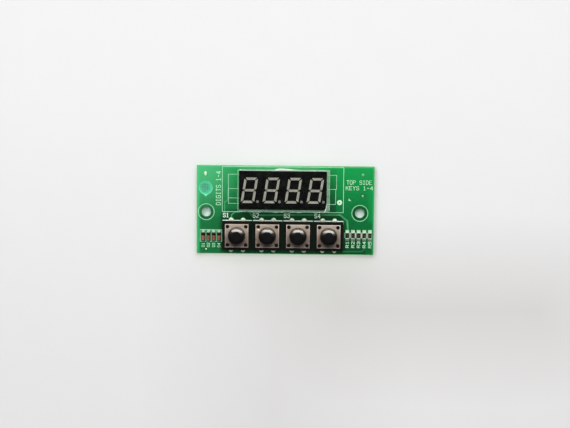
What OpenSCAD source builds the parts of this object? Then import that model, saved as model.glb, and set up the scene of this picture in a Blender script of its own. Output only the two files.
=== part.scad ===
// Four-digit LED display board with four push buttons, built piece by piece.
// Lengths are in millimetres. +Z is up out of the component side, +Y is the board's top edge,
// and the origin lies under the middle of the board, on the plane that its pin tips stand on.

/* [Board] */
// Laminate past the outermost diode
left_margin = 2.05; // [1.5:0.05:10]
// Laminate past the outermost resistor
right_margin = 0.9; // [0.6:0.1:10]
// Laminate below the switches
lower_margin = 1.9; // [1.7:0.1:8]
// Laminate above the display
upper_margin = 1.9; // [1.5:0.1:8]
// Laminate between the switches and the display
middle_gap = 5.2; // [3.6:0.1:9]
// Thickness of the laminate
board_t = 1.6; // [1:0.2:2.4]
// How far the soldered pins stand out below the laminate
pin_drop = 2.2; // [2.1:0.1:3.2]
// Thickness of the copper pads
pad_t = 0.05; // [0.03:0.01:0.08]

/* [Mounting holes] */
// Diameter of the two screw holes
mount_hole_d = 4; // [3:0.1:4.4]
// Distance from the board's left end to the left hole
mount_hole_left = 4; // [3.6:0.1:4.4]
// Distance from the board's right end to the right hole
mount_hole_right = 6; // [4:0.1:7]
// Height of the screw holes above the board's lower edge
mount_hole_rise = 17.5; // [16:0.5:20]

/* [Display] */
// Height of the display case on the board
display_d = 16; // [15.6:0.2:17]
// Thickness of the display, from the laminate to its face
display_h = 7.5; // [6:0.25:9]
// Wall of the display case
display_wall = 0.6; // [0.4:0.1:0.8]
// Thickness of the black printed face
face_t = 0.1; // [0.05:0.01:0.2]
// Thickness of the display's own circuit board
substrate_t = 1.6; // [1:0.2:2]
// Space for solder between the display's circuit board and the laminate
substrate_lift = 0.8; // [0.6:0.1:1]
// Distance from digit to digit, and so the width of one digit's share of the case
digit_pitch = 9; // [8.2:0.1:10]
// Height of a digit
digit_h = 10.5; // [8:0.25:11]
// Width of a digit
digit_w = 5.6; // [4.8:0.1:5.8]
// Width of one lit bar
segment_w = 1; // [0.7:0.05:1.2]
// Gap between neighbouring bars
segment_gap = 0.25; // [0.15:0.01:0.35]
// How far a bar's outer corner is cut back
segment_cut = 0.35; // [0:0.05:0.5]
// Lean of the digits, in degrees
digit_lean = 9; // [0:1:10]
// Diameter of a decimal point
point_d = 1.15; // [0.8:0.05:1.2]
// Diameter of a display pin
display_pin_d = 0.5; // [0.4:0.05:0.6]
// Distance from the display's long sides to its rows of pins
display_pin_inset = 1.65; // [1.4:0.05:2.5]
// Thickness of the clear film on the display
film_t = 0.1; // [0.05:0.01:0.2]

/* [Switches] */
// Side of a switch body
switch_w = 12; // [11.6:0.1:12.4]
// Gap between neighbouring switch bodies
switch_gap = 0.7; // [0.4:0.1:3]
// Height of a switch from the laminate to the top of its plunger
switch_h = 7.3; // [6:0.1:12]
// Height of the switch body's shoulder above the laminate
shoulder_h = 3; // [2.9:0.05:3.4]
// Side of the metal cover
cover_w = 10; // [9.8:0.1:10.6]
// Sheet thickness of the metal cover
cover_t = 0.3; // [0.2:0.05:0.4]
// Diameter of the plunger
plunger_d = 6.8; // [6:0.1:7]
// Rounding of the plunger's top edge
plunger_edge = 0.7; // [0.3:0.05:1]
// Travel of the plunger
press_travel = 0.3; // [0.2:0.05:0.35]
// Diameter of the corner studs that hold the cover
stud_d = 1.4; // [1:0.1:1.6]
// Distance from the cover's sides to the middles of the studs
stud_inset = 1.2; // [1.1:0.05:1.3]
// Width of a switch pin
switch_pin_w = 1; // [0.8:0.05:1]
// Thickness of a switch pin
switch_pin_t = 0.3; // [0.2:0.05:0.35]

/* [Small parts] */
// Gap between the switches and the first resistor
resistor_gap = 1.05; // [0.8:0.05:4]
// Gap between the last diode and the switches
diode_gap = 0.8; // [0.6:0.1:4]
// Length of a chip resistor
resistor_l = 3.2; // [3:0.1:3.4]
// Width of a chip resistor
resistor_w = 1.6; // [1.4:0.05:1.7]
// Thickness of a chip resistor
resistor_t = 0.55; // [0.45:0.05:0.7]
// Distance from resistor to resistor
resistor_pitch = 2.35; // [2.3:0.01:2.38]
// Length of a glass diode
diode_l = 3.5; // [3.3:0.05:3.7]
// Diameter of a glass diode's end caps
diode_d = 1.5; // [1.3:0.05:1.6]
// Distance from diode to diode
diode_pitch = 2.2; // [2.15:0.01:2.25]
// Diameter of the round inspection sticker
sticker_d = 5.8; // [4:0.1:6]

/* [Ribbon connector] */
// Number of ribbon contacts
ribbon_count = 14; // [8:1:14]
// Distance from contact to contact
ribbon_pitch = 1; // [1:0.05:1.05]
// Depth of the connector's housing
ribbon_depth = 4.2; // [4.2:0.1:4.6]
// Height of the connector's housing below the laminate
ribbon_h = 1.9; // [1.8:0.05:2.05]
// How far the lock bar pulls out
lock_travel = 1; // [0.6:0.1:1]

/* [Hidden] */
$fn = 64;

switch_count = 4;
digit_count = 4;

diode_count = 4;
resistor_count = 5;

// The row from left to right: diodes, switches, resistors
diode_row_w = (diode_count - 1) * diode_pitch + diode_d;
switch_pitch = switch_w + switch_gap;
switch_row_w = switch_count * switch_pitch - switch_gap;
resistor_row_w = (resistor_count - 1) * resistor_pitch + resistor_w;
board_w = left_margin + diode_row_w + diode_gap + switch_row_w + resistor_gap + resistor_row_w + right_margin;
board_d = lower_margin + switch_w + middle_gap + display_d + upper_margin;
board_left = -board_w / 2;
board_right = board_w / 2;
board_lower = -board_d / 2;
board_upper = board_d / 2;
switch_row_left = board_left + left_margin + diode_row_w + diode_gap;
layout_x = switch_row_left + switch_row_w / 2;

// Heights of the laminate's two faces
board_under = pin_drop;
board_top = pin_drop + board_t;

// Small fits
fit_gap = 0.02;             // between a pin and what it is soldered into
slide_gap = 0.1;            // between pieces that slide past each other
cut_over = 1;               // how far a cutter runs past the face it cuts

// Plated holes
hole_play = 0.1;            // from a pin's corner to the plating
plating_t = 0.04;
pad_rim = 0.4;              // copper ring outside the hole
switch_hole_r = norm([switch_pin_w, switch_pin_t]) / 2 + hole_play;
display_hole_r = display_pin_d / 2 + hole_play;

// Display, from the laminate up
display_x = layout_x;
display_y = board_upper - upper_margin - display_d / 2;
display_w = digit_count * digit_pitch;
display_row_gap = display_d - 2 * display_pin_inset;
display_columns = 6;
display_column_pitch = 2.54;
display_skirt_h = substrate_lift + substrate_t;
face_z = board_top + display_h - face_t;
pipe_recess = 0.03;         // light pipes end just under the face
pipe_play = 0.02;           // between a light pipe and its window
substrate_play = 0.1;
die_side = 0.3;
die_h = 0.15;
die_air = 0.05;             // between a die and the resin over it
digit_shift = -0.2;         // digits stand left of the middle of their cell
point_x = 3.35;             // decimal point, from the digit's middle
point_y = -4.6;
film_left = 0.6;            // how far the film overhangs each side of the face
film_right = 1.25;
film_far = 0.55;
film_near = 0.95;
film_corner_r = 0.5;

// Switch, from the laminate up
switch_y = board_lower + lower_margin + switch_w / 2;
base_lift = pad_t + 0.05;   // body stands clear of the pads on low feet
foot_r = 0.8;
foot_inset = 1.1;
platform_h = 0.3;           // raised square that the cover sits on
cover_top = shoulder_h + platform_h + cover_t;
platform_w = cover_w - 2 * cover_t;
stud_gap = cover_w - 2 * stud_inset;
cavity_d = 8.8;
cavity_floor = 1.2;
flange_d = 8.2;
flange_t = 0.65;
flange_top = shoulder_h + platform_h - fit_gap;
plunger_play = 0.1;         // around the plunger in the cover's hole
stud_play = 0.1;
stud_rise = 0.25;           // stud head above the cover
stud_bevel = 0.15;
dome_d = 8.2;
dome_rise = 0.9;
dome_t = 0.12;
nub_d = 2.4;
contact_t = 0.3;
contact_low = 0.4;          // underside of the buried contact frame
contact_button_r = 0.8;
contact_button_rise = dome_rise - dome_t - press_travel;
pin_pitch = 5;
pin_stand_off = 0.25;       // from the body's side to the middle of a pin
pin_row_gap = switch_w + 2 * pin_stand_off;

// Solder cones
solder_rim = 0.25;          // pad left bare around a cone
solder_foot_h = 0.95;
solder_top_h = 0.3;
solder_neck = 0.05;         // solder wall left at the cone's tip
bead_rim = 0.12;            // the same bare rim on the component side

// Chip resistors, in a row beside the switches
resistor_lift = 0.3;        // row of resistors above the switches' middle
resistor_y = switch_y + resistor_lift;
resistor_cap_l = 0.5;
resistor_coat_t = 0.06;
resistor_coat_inset = 0.08;
chip_pad_over = 0.75;       // pad past the end of the chip
chip_pad_under = 0.5;       // pad under the chip
round_pad_inset = 0.1;      // pad of a round chip is this much narrower than the chip

// Glass diodes, in a row on the other side
diode_drop = 0.5;           // row of diodes below the switches' middle
diode_y = switch_y - diode_drop;
diode_cap_l = 0.45;
diode_glass_inset = 0.05;
diode_wall = 0.25;
diode_band_l = 0.75;
diode_band_t = 0.02;
diode_die_l = 0.15;

// Solder fillets at the chips' ends
fillet_l = 0.6;
fillet_h = 0.45;
fillet_side_inset = 0.1;

// Round tinned test pads: inset from the nearest end and edge, and diameter
upper_right_pad = [4.9, 3.45, 1.3];
middle_right_pad = [4.9, 12.3, 1.3];
upper_left_pad = [3.6, 3.3, 1.2];
lower_left_pad = [4, 1.9, 0.9];
test_pad_t = 0.12;

// Inspection sticker with its small pointed tail
sticker_inset = [3.8, 9.45];
sticker_t = 0.1;
sticker_tail = 3.75;
sticker_tail_w = 2;

// Ribbon connector, hung from the underside near the top edge
ribbon_inset = 7.9;         // housing's end to the board's right end
ribbon_edge = 1.3;          // housing mouth to the board's upper edge
ribbon_end_wall = 1.8;
ribbon_back_wall = 1.2;
ribbon_margin = 0.8;        // ribbon's edge past its outermost contact
ribbon_slot_l = (ribbon_count - 1) * ribbon_pitch + 2 * ribbon_margin;
ribbon_l = ribbon_slot_l + 2 * ribbon_end_wall;
ribbon_x = board_right - ribbon_inset - ribbon_l / 2;
ribbon_mouth_y = board_upper - ribbon_edge;
ribbon_back_y = ribbon_mouth_y - ribbon_depth;
ribbon_floor = board_under - ribbon_h;
ribbon_roof = 0.35;         // plastic between the slot and the laminate
ribbon_slot_h = 1.1;
ribbon_slot_top = board_under - ribbon_roof;
ribbon_pin_w = 0.3;
ribbon_pin_t = 0.2;
ribbon_pin_inset = 0.6;     // blade tip behind the mouth
ribbon_tail = 0.9;
pad_margin = 0.2;           // pad past what is soldered on it
lock_head_d = 0.9;
lock_head_side = 0.4;       // head runs past the housing at both ends
lock_tongue_t = 0.45;
lock_hold = 1.2;            // tongue left in the slot when the bar is pulled out
lock_tongue_deep = lock_travel + lock_hold;
anchor_w = 1.2;
anchor_t = 0.25;
anchor_l = 1.8;
anchor_rise = 0.4;          // ear's lower edge above the housing's floor
anchor_x = ribbon_l / 2 + anchor_w / 2;

function diode_x(i) = board_left + left_margin + diode_d / 2 + i * diode_pitch;
function switch_x(i) = switch_row_left + switch_w / 2 + i * switch_pitch;
function resistor_x(i) = switch_row_left + switch_row_w + resistor_gap + resistor_w / 2 + i * resistor_pitch;
function digit_x(i) = display_x + (i - (digit_count - 1) / 2) * digit_pitch + digit_shift;
function display_pin_x(i) = display_x + (i - (display_columns - 1) / 2) * display_column_pitch;
function ribbon_pin_x(i) = ribbon_x + (i - (ribbon_count - 1) / 2) * ribbon_pitch;

// ---------- shared shapes ----------

// Box given by its middle in X and Y and its two heights
module slab(x, y, w, d, z0, z1) {
    translate([x - w / 2, y - d / 2, z0]) cube([w, d, z1 - z0]);
}

// Upright cylinder between two heights
module post(x, y, r, z0, z1) {
    translate([x, y, z0]) cylinder(r = r, h = z1 - z0);
}

// Slab with rounded corners, given by two opposite corners and its two heights
module rounded_slab(x0, y0, x1, y1, r, z0, z1) {
    translate([x0 + r, y0, z0]) cube([x1 - x0 - 2 * r, y1 - y0, z1 - z0]);
    translate([x0, y0 + r, z0]) cube([x1 - x0, y1 - y0 - 2 * r, z1 - z0]);
    for (x = [x0 + r, x1 - r], y = [y0 + r, y1 - r]) post(x, y, r, z0, z1);
}

// Puts its child at each of the 16 switch pins
module at_switch_pins() {
    for (i = [0 : switch_count - 1], sx = [-1, 1], sy = [-1, 1])
        translate([switch_x(i) + sx * pin_pitch / 2, switch_y + sy * pin_row_gap / 2, 0]) children();
}

// Puts its child at each of the 12 display pins
module at_display_pins() {
    for (i = [0 : display_columns - 1], sy = [-1, 1])
        translate([display_pin_x(i), display_y + sy * display_row_gap / 2, 0]) children();
}

// ---------- board ----------

module circuit_board() {
    color("#1f9a4e") difference() {
        slab(0, 0, board_w, board_d, board_under, board_top);
        for (x = [board_left + mount_hole_left, board_right - mount_hole_right])
            post(x, board_lower + mount_hole_rise, mount_hole_d / 2,
                 board_under - cut_over, board_top + cut_over);
        at_switch_pins() post(0, 0, switch_hole_r, board_under - cut_over, board_top + cut_over);
        at_display_pins() post(0, 0, display_hole_r, board_under - cut_over, board_top + cut_over);
    }
}

// Copper ring, tube and ring again, as plated in one hole of radius r
module plated_hole(r) {
    difference() {
        union() {
            post(0, 0, r - plating_t / 4, board_under - pad_t, board_top + pad_t);
            post(0, 0, r + pad_rim, board_top, board_top + pad_t);
            post(0, 0, r + pad_rim, board_under - pad_t, board_under);
        }
        post(0, 0, r - plating_t, board_under - cut_over, board_top + cut_over);
    }
}

module plated_holes() {
    color("#d8dcd6") {
        at_switch_pins() plated_hole(switch_hole_r);
        at_display_pins() plated_hole(display_hole_r);
    }
}

// The two pads at the ends of one chip that lies along Y
module chip_pads(x, y, chip_l, pad_w) {
    for (s = [-1, 1]) {
        middle = chip_l / 2 + (chip_pad_over - chip_pad_under) / 2;
        slab(x, y + s * middle, pad_w, chip_pad_over + chip_pad_under, board_top, board_top + pad_t);
    }
}

module surface_pads() {
    color("#d8dcd6") {
        for (i = [0 : resistor_count - 1]) chip_pads(resistor_x(i), resistor_y, resistor_l, resistor_w);
        for (i = [0 : diode_count - 1]) chip_pads(diode_x(i), diode_y, diode_l, diode_d - round_pad_inset);
        for (i = [0 : ribbon_count - 1])
            slab(ribbon_pin_x(i), ribbon_back_y - ribbon_tail / 2, ribbon_pin_w + pad_margin,
                 ribbon_tail + 2 * pad_margin, board_under - pad_t, board_under);
        for (s = [-1, 1])
            slab(ribbon_x + s * anchor_x, ribbon_mouth_y - anchor_l, anchor_w, anchor_l + 2 * pad_margin,
                 board_under - pad_t, board_under);
    }
}

module test_pads() {
    color("#e2e6dc") {
        for (p = [upper_right_pad, middle_right_pad])
            post(board_right - p[0], board_upper - p[1], p[2] / 2, board_top, board_top + test_pad_t);
        post(board_left + upper_left_pad[0], board_upper - upper_left_pad[1], upper_left_pad[2] / 2,
             board_top, board_top + test_pad_t);
        post(board_left + lower_left_pad[0], board_lower + lower_left_pad[1], lower_left_pad[2] / 2,
             board_top, board_top + test_pad_t);
    }
}

// ---------- display ----------

// Slants a point by the digits' lean
function lean(p) = [p[0] + p[1] * tan(digit_lean), p[1]];

// Outline of one upright bar: k is 0 to 6 for bars a to g, and play shrinks the bar all round
function bar_points(k, play) =
    let (
        a = digit_w / 2 - play,
        b = digit_h / 2 - play,
        t = segment_w - 2 * play,
        m = t / 2,
        g = (segment_gap + 2 * play) * sin(45),
        c = g + segment_cut,
        flat_bar = [[-a + c, b], [a - c, b], [a - t - g, b - t], [-a + t + g, b - t]],
        side_bar = [[a, b - c], [a - t, b - t - g], [a - t, m + g], [a - m, g], [a, m + g]],
        middle_bar = [[-a + m + g, 0], [-a + t + g, m], [a - t - g, m],
                      [a - m - g, 0], [a - t - g, -m], [-a + t + g, -m]],
        sx = (k == 4 || k == 5) ? -1 : 1,
        sy = (k == 2 || k == 3 || k == 4) ? -1 : 1
    )
    [for (p = k == 6 ? middle_bar : (k == 0 || k == 3) ? flat_bar : side_bar) [sx * p[0], sy * p[1]]];

// Seven bars and the decimal point of one digit, between two heights
module digit_prisms(play, z0, z1) {
    for (k = [0 : 6])
        translate([0, 0, z0]) linear_extrude(height = z1 - z0)
            polygon([for (p = bar_points(k, play)) lean(p)]);
    post(point_x, point_y, point_d / 2 - play, z0, z1);
}

module at_digit(i) {
    translate([digit_x(i), display_y, 0]) children();
}

module display_case() {
    color("#c9ccc4") difference() {
        slab(display_x, display_y, display_w, display_d, board_top, face_z);
        slab(display_x, display_y, display_w - 2 * display_wall, display_d - 2 * display_wall,
             board_top - cut_over, board_top + display_skirt_h);
        for (i = [0 : digit_count - 1])
            at_digit(i) digit_prisms(0, board_top + display_skirt_h - cut_over, face_z + cut_over);
    }
}

module display_face() {
    color("#15151a") difference() {
        slab(display_x, display_y, display_w, display_d, face_z, face_z + face_t);
        for (i = [0 : digit_count - 1])
            at_digit(i) digit_prisms(0, face_z - cut_over, face_z + face_t + cut_over);
    }
}

module digit(i) {
    pipe_z = board_top + display_skirt_h + die_h + die_air;
    color("#bdb9ab") at_digit(i) digit_prisms(pipe_play, pipe_z, face_z + face_t - pipe_recess);
}

module display_substrate() {
    color("#cfd2c0") difference() {
        slab(display_x, display_y, display_w - 2 * (display_wall + substrate_play),
             display_d - 2 * (display_wall + substrate_play),
             board_top + substrate_lift, board_top + display_skirt_h);
        at_display_pins() post(0, 0, display_pin_d / 2 + fit_gap, board_top, board_top + display_h);
    }
}

// Middle of the bar that each die lights
function die_place(k) =
    let (
        a = (digit_w - segment_w) / 2,
        b = (digit_h - segment_w) / 2
    )
    k == 7 ? [point_x, point_y] :
    lean([[0, b], [a, b / 2], [a, -b / 2], [0, -b], [-a, -b / 2], [-a, b / 2], [0, 0]][k]);

module led_dies() {
    color("#e8d24a") for (i = [0 : digit_count - 1], k = [0 : 7])
        at_digit(i) slab(die_place(k)[0], die_place(k)[1], die_side, die_side,
                         board_top + display_skirt_h, board_top + display_skirt_h + die_h);
}

module display_pins() {
    color("#c8cbc8") at_display_pins() post(0, 0, display_pin_d / 2, 0, board_top + display_skirt_h);
}

// Solder around one pin: a cone under the board and the fill of its plated hole
module solder_joint(hole_r, neck_r, top_z) {
    post(0, 0, hole_r - plating_t - fit_gap, board_under - pad_t - fit_gap, top_z);
    translate([0, 0, board_under - pad_t - solder_foot_h])
        cylinder(r1 = neck_r, r2 = hole_r + pad_rim - solder_rim, h = solder_foot_h);
}

module display_solder_joints() {
    color("#b9bdbd") at_display_pins() difference() {
        solder_joint(display_hole_r, display_pin_d / 2 + solder_neck, board_top + pad_t);
        post(0, 0, display_pin_d / 2, -cut_over, board_top + cut_over);
    }
}

module display_film() {
    color("#e6efe8", 0.35)
        rounded_slab(display_x - display_w / 2 - film_left, display_y - display_d / 2 - film_near,
                     display_x + display_w / 2 + film_right, display_y + display_d / 2 + film_far,
                     film_corner_r, face_z + face_t, face_z + face_t + film_t);
}

// ---------- push-button switches ----------

module at_switch(i) {
    translate([switch_x(i), switch_y, board_top]) children();
}

// Bar of a contact frame with its two pins. Heights are above the laminate.
module contact_rail(x, z) {
    slab(x, 0, switch_pin_w, pin_row_gap + switch_pin_t, z, z + contact_t);
    for (s = [-1, 1]) slab(x, s * pin_row_gap / 2, switch_pin_w, switch_pin_t, -board_top, z + contact_t);
}

// Frame under the dome's middle: buried rail, tongue and contact button
module middle_contact() {
    contact_rail(-pin_pitch / 2, contact_low);
    tongue = pin_pitch / 2 - switch_pin_w / 2;
    slab(-tongue / 2, 0, tongue, switch_pin_w, contact_low, contact_low + contact_t);
    post(0, 0, contact_button_r, contact_low, cavity_floor + contact_button_rise);
}

// Frame under the dome's rim: a rail flush with the cavity floor
module rim_contact() {
    contact_rail(pin_pitch / 2, cavity_floor - contact_t);
}

module switch_contacts(i) {
    color("#c4c0b6") at_switch(i) {
        middle_contact();
        rim_contact();
    }
}

module switch_stud(sx, sy) {
    top = cover_top + stud_rise;
    translate([sx * stud_gap / 2, sy * stud_gap / 2, 0]) {
        post(0, 0, stud_d / 2, shoulder_h, top - stud_bevel);
        translate([0, 0, top - stud_bevel])
            cylinder(r1 = stud_d / 2, r2 = stud_d / 2 - stud_bevel, h = stud_bevel);
    }
}

module switch_base(i) {
    foot_place = switch_w / 2 - foot_inset;
    color("#17181a") at_switch(i) difference() {
        union() {
            slab(0, 0, switch_w, switch_w, base_lift, shoulder_h);
            slab(0, 0, platform_w, platform_w, shoulder_h, shoulder_h + platform_h);
            for (sx = [-1, 1], sy = [-1, 1]) {
                post(sx * foot_place, sy * foot_place, foot_r, 0, shoulder_h);
                switch_stud(sx, sy);
            }
        }
        post(0, 0, cavity_d / 2, cavity_floor, shoulder_h + platform_h + cut_over);
        middle_contact();
        rim_contact();
    }
}

module switch_cover(i) {
    color("#b8a9a2") at_switch(i) difference() {
        slab(0, 0, cover_w, cover_w, shoulder_h, cover_top);
        slab(0, 0, platform_w, platform_w, shoulder_h - cut_over, shoulder_h + platform_h);
        post(0, 0, plunger_d / 2 + plunger_play, shoulder_h, cover_top + cut_over);
        for (x = [-stud_gap / 2, stud_gap / 2], y = [-stud_gap / 2, stud_gap / 2])
            post(x, y, stud_d / 2 + stud_play, shoulder_h, cover_top + cut_over);
    }
}

// Half profile of the plunger: nub, flange, stem and rounded top edge
function plunger_profile() =
    let (
        r = plunger_d / 2,
        e = plunger_edge,
        steps = 8,
        nub_z = cavity_floor + dome_rise + fit_gap
    )
    concat(
        [[0, nub_z], [nub_d / 2, nub_z], [nub_d / 2, flange_top - flange_t],
         [flange_d / 2, flange_top - flange_t], [flange_d / 2, flange_top], [r, flange_top]],
        [for (k = [0 : steps]) let (u = 90 * k / steps) [r - e + e * cos(u), switch_h - e + e * sin(u)]],
        [[0, switch_h]]
    );

module switch_plunger(i) {
    color("#1c1d20") at_switch(i) rotate_extrude() polygon(plunger_profile());
}

// Shallow snap dome, its rim on the cavity floor
function dome_arc(r, rise, t, steps) =
    let (big = (r * r + rise * rise) / (2 * rise))
    [for (k = [0 : steps])
        let (x = r * k / steps, full = sqrt(big * big - x * x) - (big - rise))
        [x, full - t]];

module switch_dome(i) {
    steps = 10;
    outer = dome_arc(dome_d / 2, dome_rise - dome_t, -dome_t, steps);
    inner = dome_arc(dome_d / 2, dome_rise - dome_t, 0, steps);
    color("#d3d5d6") at_switch(i) translate([0, 0, cavity_floor])
        rotate_extrude() polygon(concat(outer, [for (k = [steps : -1 : 0]) inner[k]]));
}

// Solder of the switch pins: below the board, in the hole, and a low bead beside the body
module switch_solder_joints() {
    bead_z = board_top + pad_t;
    beside = (pin_row_gap - switch_w) / 2 - fit_gap;
    color("#b9bdbd")
    for (i = [0 : switch_count - 1], sx = [-1, 1], sy = [-1, 1])
        translate([switch_x(i) + sx * pin_pitch / 2, switch_y + sy * pin_row_gap / 2, 0]) difference() {
            union() {
                solder_joint(switch_hole_r, switch_hole_r, bead_z);
                translate([0, 0, bead_z])
                    cylinder(r1 = switch_hole_r + pad_rim - bead_rim, r2 = switch_hole_r, h = solder_top_h);
            }
            slab(0, 0, switch_pin_w, switch_pin_t, -cut_over, bead_z + cut_over);
            slab(0, -sy * (beside + cut_over), 2 * cut_over, 2 * cut_over, bead_z - fit_gap,
                 bead_z + cut_over);
        }
}

// ---------- chip resistors and glass diodes ----------

module resistor_bodies() {
    color("#e9e6dc") for (i = [0 : resistor_count - 1])
        slab(resistor_x(i), resistor_y, resistor_w, resistor_l - 2 * resistor_cap_l,
             board_top + pad_t, board_top + pad_t + resistor_t);
}

module resistor_coats() {
    z = board_top + pad_t + resistor_t;
    color("#20201f") for (i = [0 : resistor_count - 1])
        slab(resistor_x(i), resistor_y, resistor_w - 2 * resistor_coat_inset,
             resistor_l - 2 * (resistor_cap_l + resistor_coat_inset), z, z + resistor_coat_t);
}

module resistor_end_caps() {
    color("#dadcdc") for (i = [0 : resistor_count - 1], s = [-1, 1])
        slab(resistor_x(i), resistor_y + s * (resistor_l - resistor_cap_l) / 2, resistor_w, resistor_cap_l,
             board_top + pad_t, board_top + pad_t + resistor_t + resistor_coat_t);
}

// Cylinder along Y about a diode's axis, between two places on it
module on_diode(i, r, y0, y1) {
    translate([diode_x(i), diode_y + y0, board_top + pad_t + diode_d / 2])
        rotate([-90, 0, 0]) cylinder(r = r, h = y1 - y0);
}

diode_glass_r = diode_d / 2 - diode_glass_inset;
diode_glass_half = diode_l / 2 - diode_cap_l;

module diode_glass() {
    color("#d98a5a", 0.6) for (i = [0 : diode_count - 1]) difference() {
        on_diode(i, diode_glass_r, -diode_glass_half, diode_glass_half);
        on_diode(i, diode_glass_r - diode_wall, -diode_l, diode_l);
    }
}

module diode_end_caps() {
    color("#d6d8d8") for (i = [0 : diode_count - 1]) {
        on_diode(i, diode_d / 2, diode_glass_half, diode_l / 2);
        on_diode(i, diode_d / 2, -diode_l / 2, -diode_glass_half);
    }
}

module diode_bands() {
    color("#141414") for (i = [0 : diode_count - 1]) difference() {
        on_diode(i, diode_glass_r + diode_band_t, diode_glass_half - diode_band_l, diode_glass_half);
        on_diode(i, diode_glass_r, -diode_l, diode_l);
    }
}

module diode_slugs() {
    r = diode_glass_r - diode_wall - fit_gap / 2;
    color("#b5482e") for (i = [0 : diode_count - 1]) {
        on_diode(i, r, -diode_glass_half, -diode_die_l / 2);
        on_diode(i, r / 2, -diode_die_l / 2, diode_die_l / 2);
        on_diode(i, r, diode_die_l / 2, diode_glass_half);
    }
}

// Wedge of solder against one end of a chip that lies along Y; s is the end's side
module solder_wedge(x, y, s, w) {
    translate([x - w / 2, y, board_top + pad_t])
        mirror([0, s < 0 ? 1 : 0, 0])
            rotate([90, 0, 90]) linear_extrude(height = w) polygon([[0, 0], [fillet_l, 0], [0, fillet_h]]);
}

module chip_solder_fillets() {
    resistor_fillet_w = resistor_w - 2 * fillet_side_inset;
    diode_fillet_w = diode_d - round_pad_inset - 2 * fillet_side_inset;
    color("#cfd2d0") for (s = [-1, 1]) {
        for (i = [0 : resistor_count - 1])
            solder_wedge(resistor_x(i), resistor_y + s * resistor_l / 2, s, resistor_fillet_w);
        for (i = [0 : diode_count - 1])
            solder_wedge(diode_x(i), diode_y + s * diode_l / 2, s, diode_fillet_w);
    }
}

module inspection_sticker() {
    half = sticker_tail_w / 2;
    tail_top = -sqrt(pow(sticker_d / 2, 2) - pow(half, 2));
    color("#37c08c") translate([board_left + sticker_inset[0], board_upper - sticker_inset[1], board_top]) {
        cylinder(r = sticker_d / 2, h = sticker_t);
        linear_extrude(height = sticker_t)
            polygon([[-half, tail_top], [half, tail_top], [0, -sticker_tail]]);
    }
}

// ---------- ribbon connector under the board ----------

// One contact: a blade along the slot's roof, and a tail soldered behind the housing
module ribbon_contact(x) {
    blade_l = ribbon_depth - ribbon_pin_inset;
    blade_z = ribbon_slot_top - ribbon_pin_t;
    tail_z = board_under - pad_t;
    slab(x, ribbon_back_y + blade_l / 2, ribbon_pin_w, blade_l, blade_z, ribbon_slot_top);
    slab(x, ribbon_back_y - ribbon_pin_t / 2, ribbon_pin_w, ribbon_pin_t, blade_z, tail_z);
    slab(x, ribbon_back_y - ribbon_tail / 2, ribbon_pin_w, ribbon_tail, tail_z - ribbon_pin_t, tail_z);
}

module ribbon_contacts() {
    color("#d9c07a") for (i = [0 : ribbon_count - 1]) ribbon_contact(ribbon_pin_x(i));
}

module ribbon_housing() {
    slot_deep = ribbon_depth - ribbon_back_wall;
    color("#ece6d2") difference() {
        slab(ribbon_x, ribbon_mouth_y - ribbon_depth / 2, ribbon_l, ribbon_depth,
             ribbon_floor, board_under - pad_t);
        slab(ribbon_x, ribbon_mouth_y - (slot_deep - cut_over) / 2, ribbon_slot_l, slot_deep + cut_over,
             ribbon_slot_top - ribbon_slot_h, ribbon_slot_top);
        ribbon_contacts();
    }
}

// Lock bar: a head across the mouth and a tongue that presses the ribbon up against the contacts
module ribbon_lock_bar() {
    tongue_z = ribbon_slot_top - ribbon_slot_h + slide_gap;
    tongue_l = slide_gap + lock_tongue_deep;
    color("#5a3a26") {
        slab(ribbon_x, ribbon_mouth_y + slide_gap + lock_head_d / 2,
             ribbon_l + 2 * lock_head_side, lock_head_d, ribbon_floor, tongue_z + lock_tongue_t);
        slab(ribbon_x, ribbon_mouth_y + slide_gap - tongue_l / 2, ribbon_slot_l - 2 * slide_gap, tongue_l,
             tongue_z, tongue_z + lock_tongue_t);
    }
}

// Metal ears that hold the housing's ends to the board
module ribbon_anchor_tabs() {
    top = board_under - pad_t;
    color("#c9ccca") for (s = [-1, 1]) {
        slab(ribbon_x + s * (ribbon_l + anchor_t) / 2, ribbon_mouth_y - anchor_l, anchor_t, anchor_l,
             ribbon_floor + anchor_rise, top);
        slab(ribbon_x + s * anchor_x, ribbon_mouth_y - anchor_l, anchor_w, anchor_l, top - anchor_t, top);
    }
}

// ---------- nodes ----------

circuit_board();
plated_holes();
surface_pads();
test_pads();
display_case();
display_face();
display_substrate();
led_dies();
for (i = [0 : digit_count - 1])
    digit(i);
display_pins();
display_solder_joints();
display_film();
for (i = [0 : switch_count - 1]) {
    switch_base(i);
    switch_cover(i);
    switch_plunger(i);
    switch_dome(i);
    switch_contacts(i);
}
switch_solder_joints();
resistor_bodies();
resistor_coats();
resistor_end_caps();
diode_glass();
diode_end_caps();
diode_bands();
diode_slugs();
chip_solder_fillets();
inspection_sticker();
ribbon_housing();
ribbon_contacts();
ribbon_lock_bar();
ribbon_anchor_tabs();
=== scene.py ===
"""Visual model of a four-digit display board with four push buttons.

Each sub-assembly is a class. Its sizes are dataclass fields, in millimetres, and its methods build
its meshes and dress them. The solids of the frame stay where they are: a piece either dresses one
of them or stands in its place.
"""
import logging
import math
from dataclasses import dataclass
from enum import Enum
from functools import reduce
from typing import Callable, Iterable, Optional, Sequence, Union

import bmesh
import bpy
from mathutils import Matrix, Vector


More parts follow.
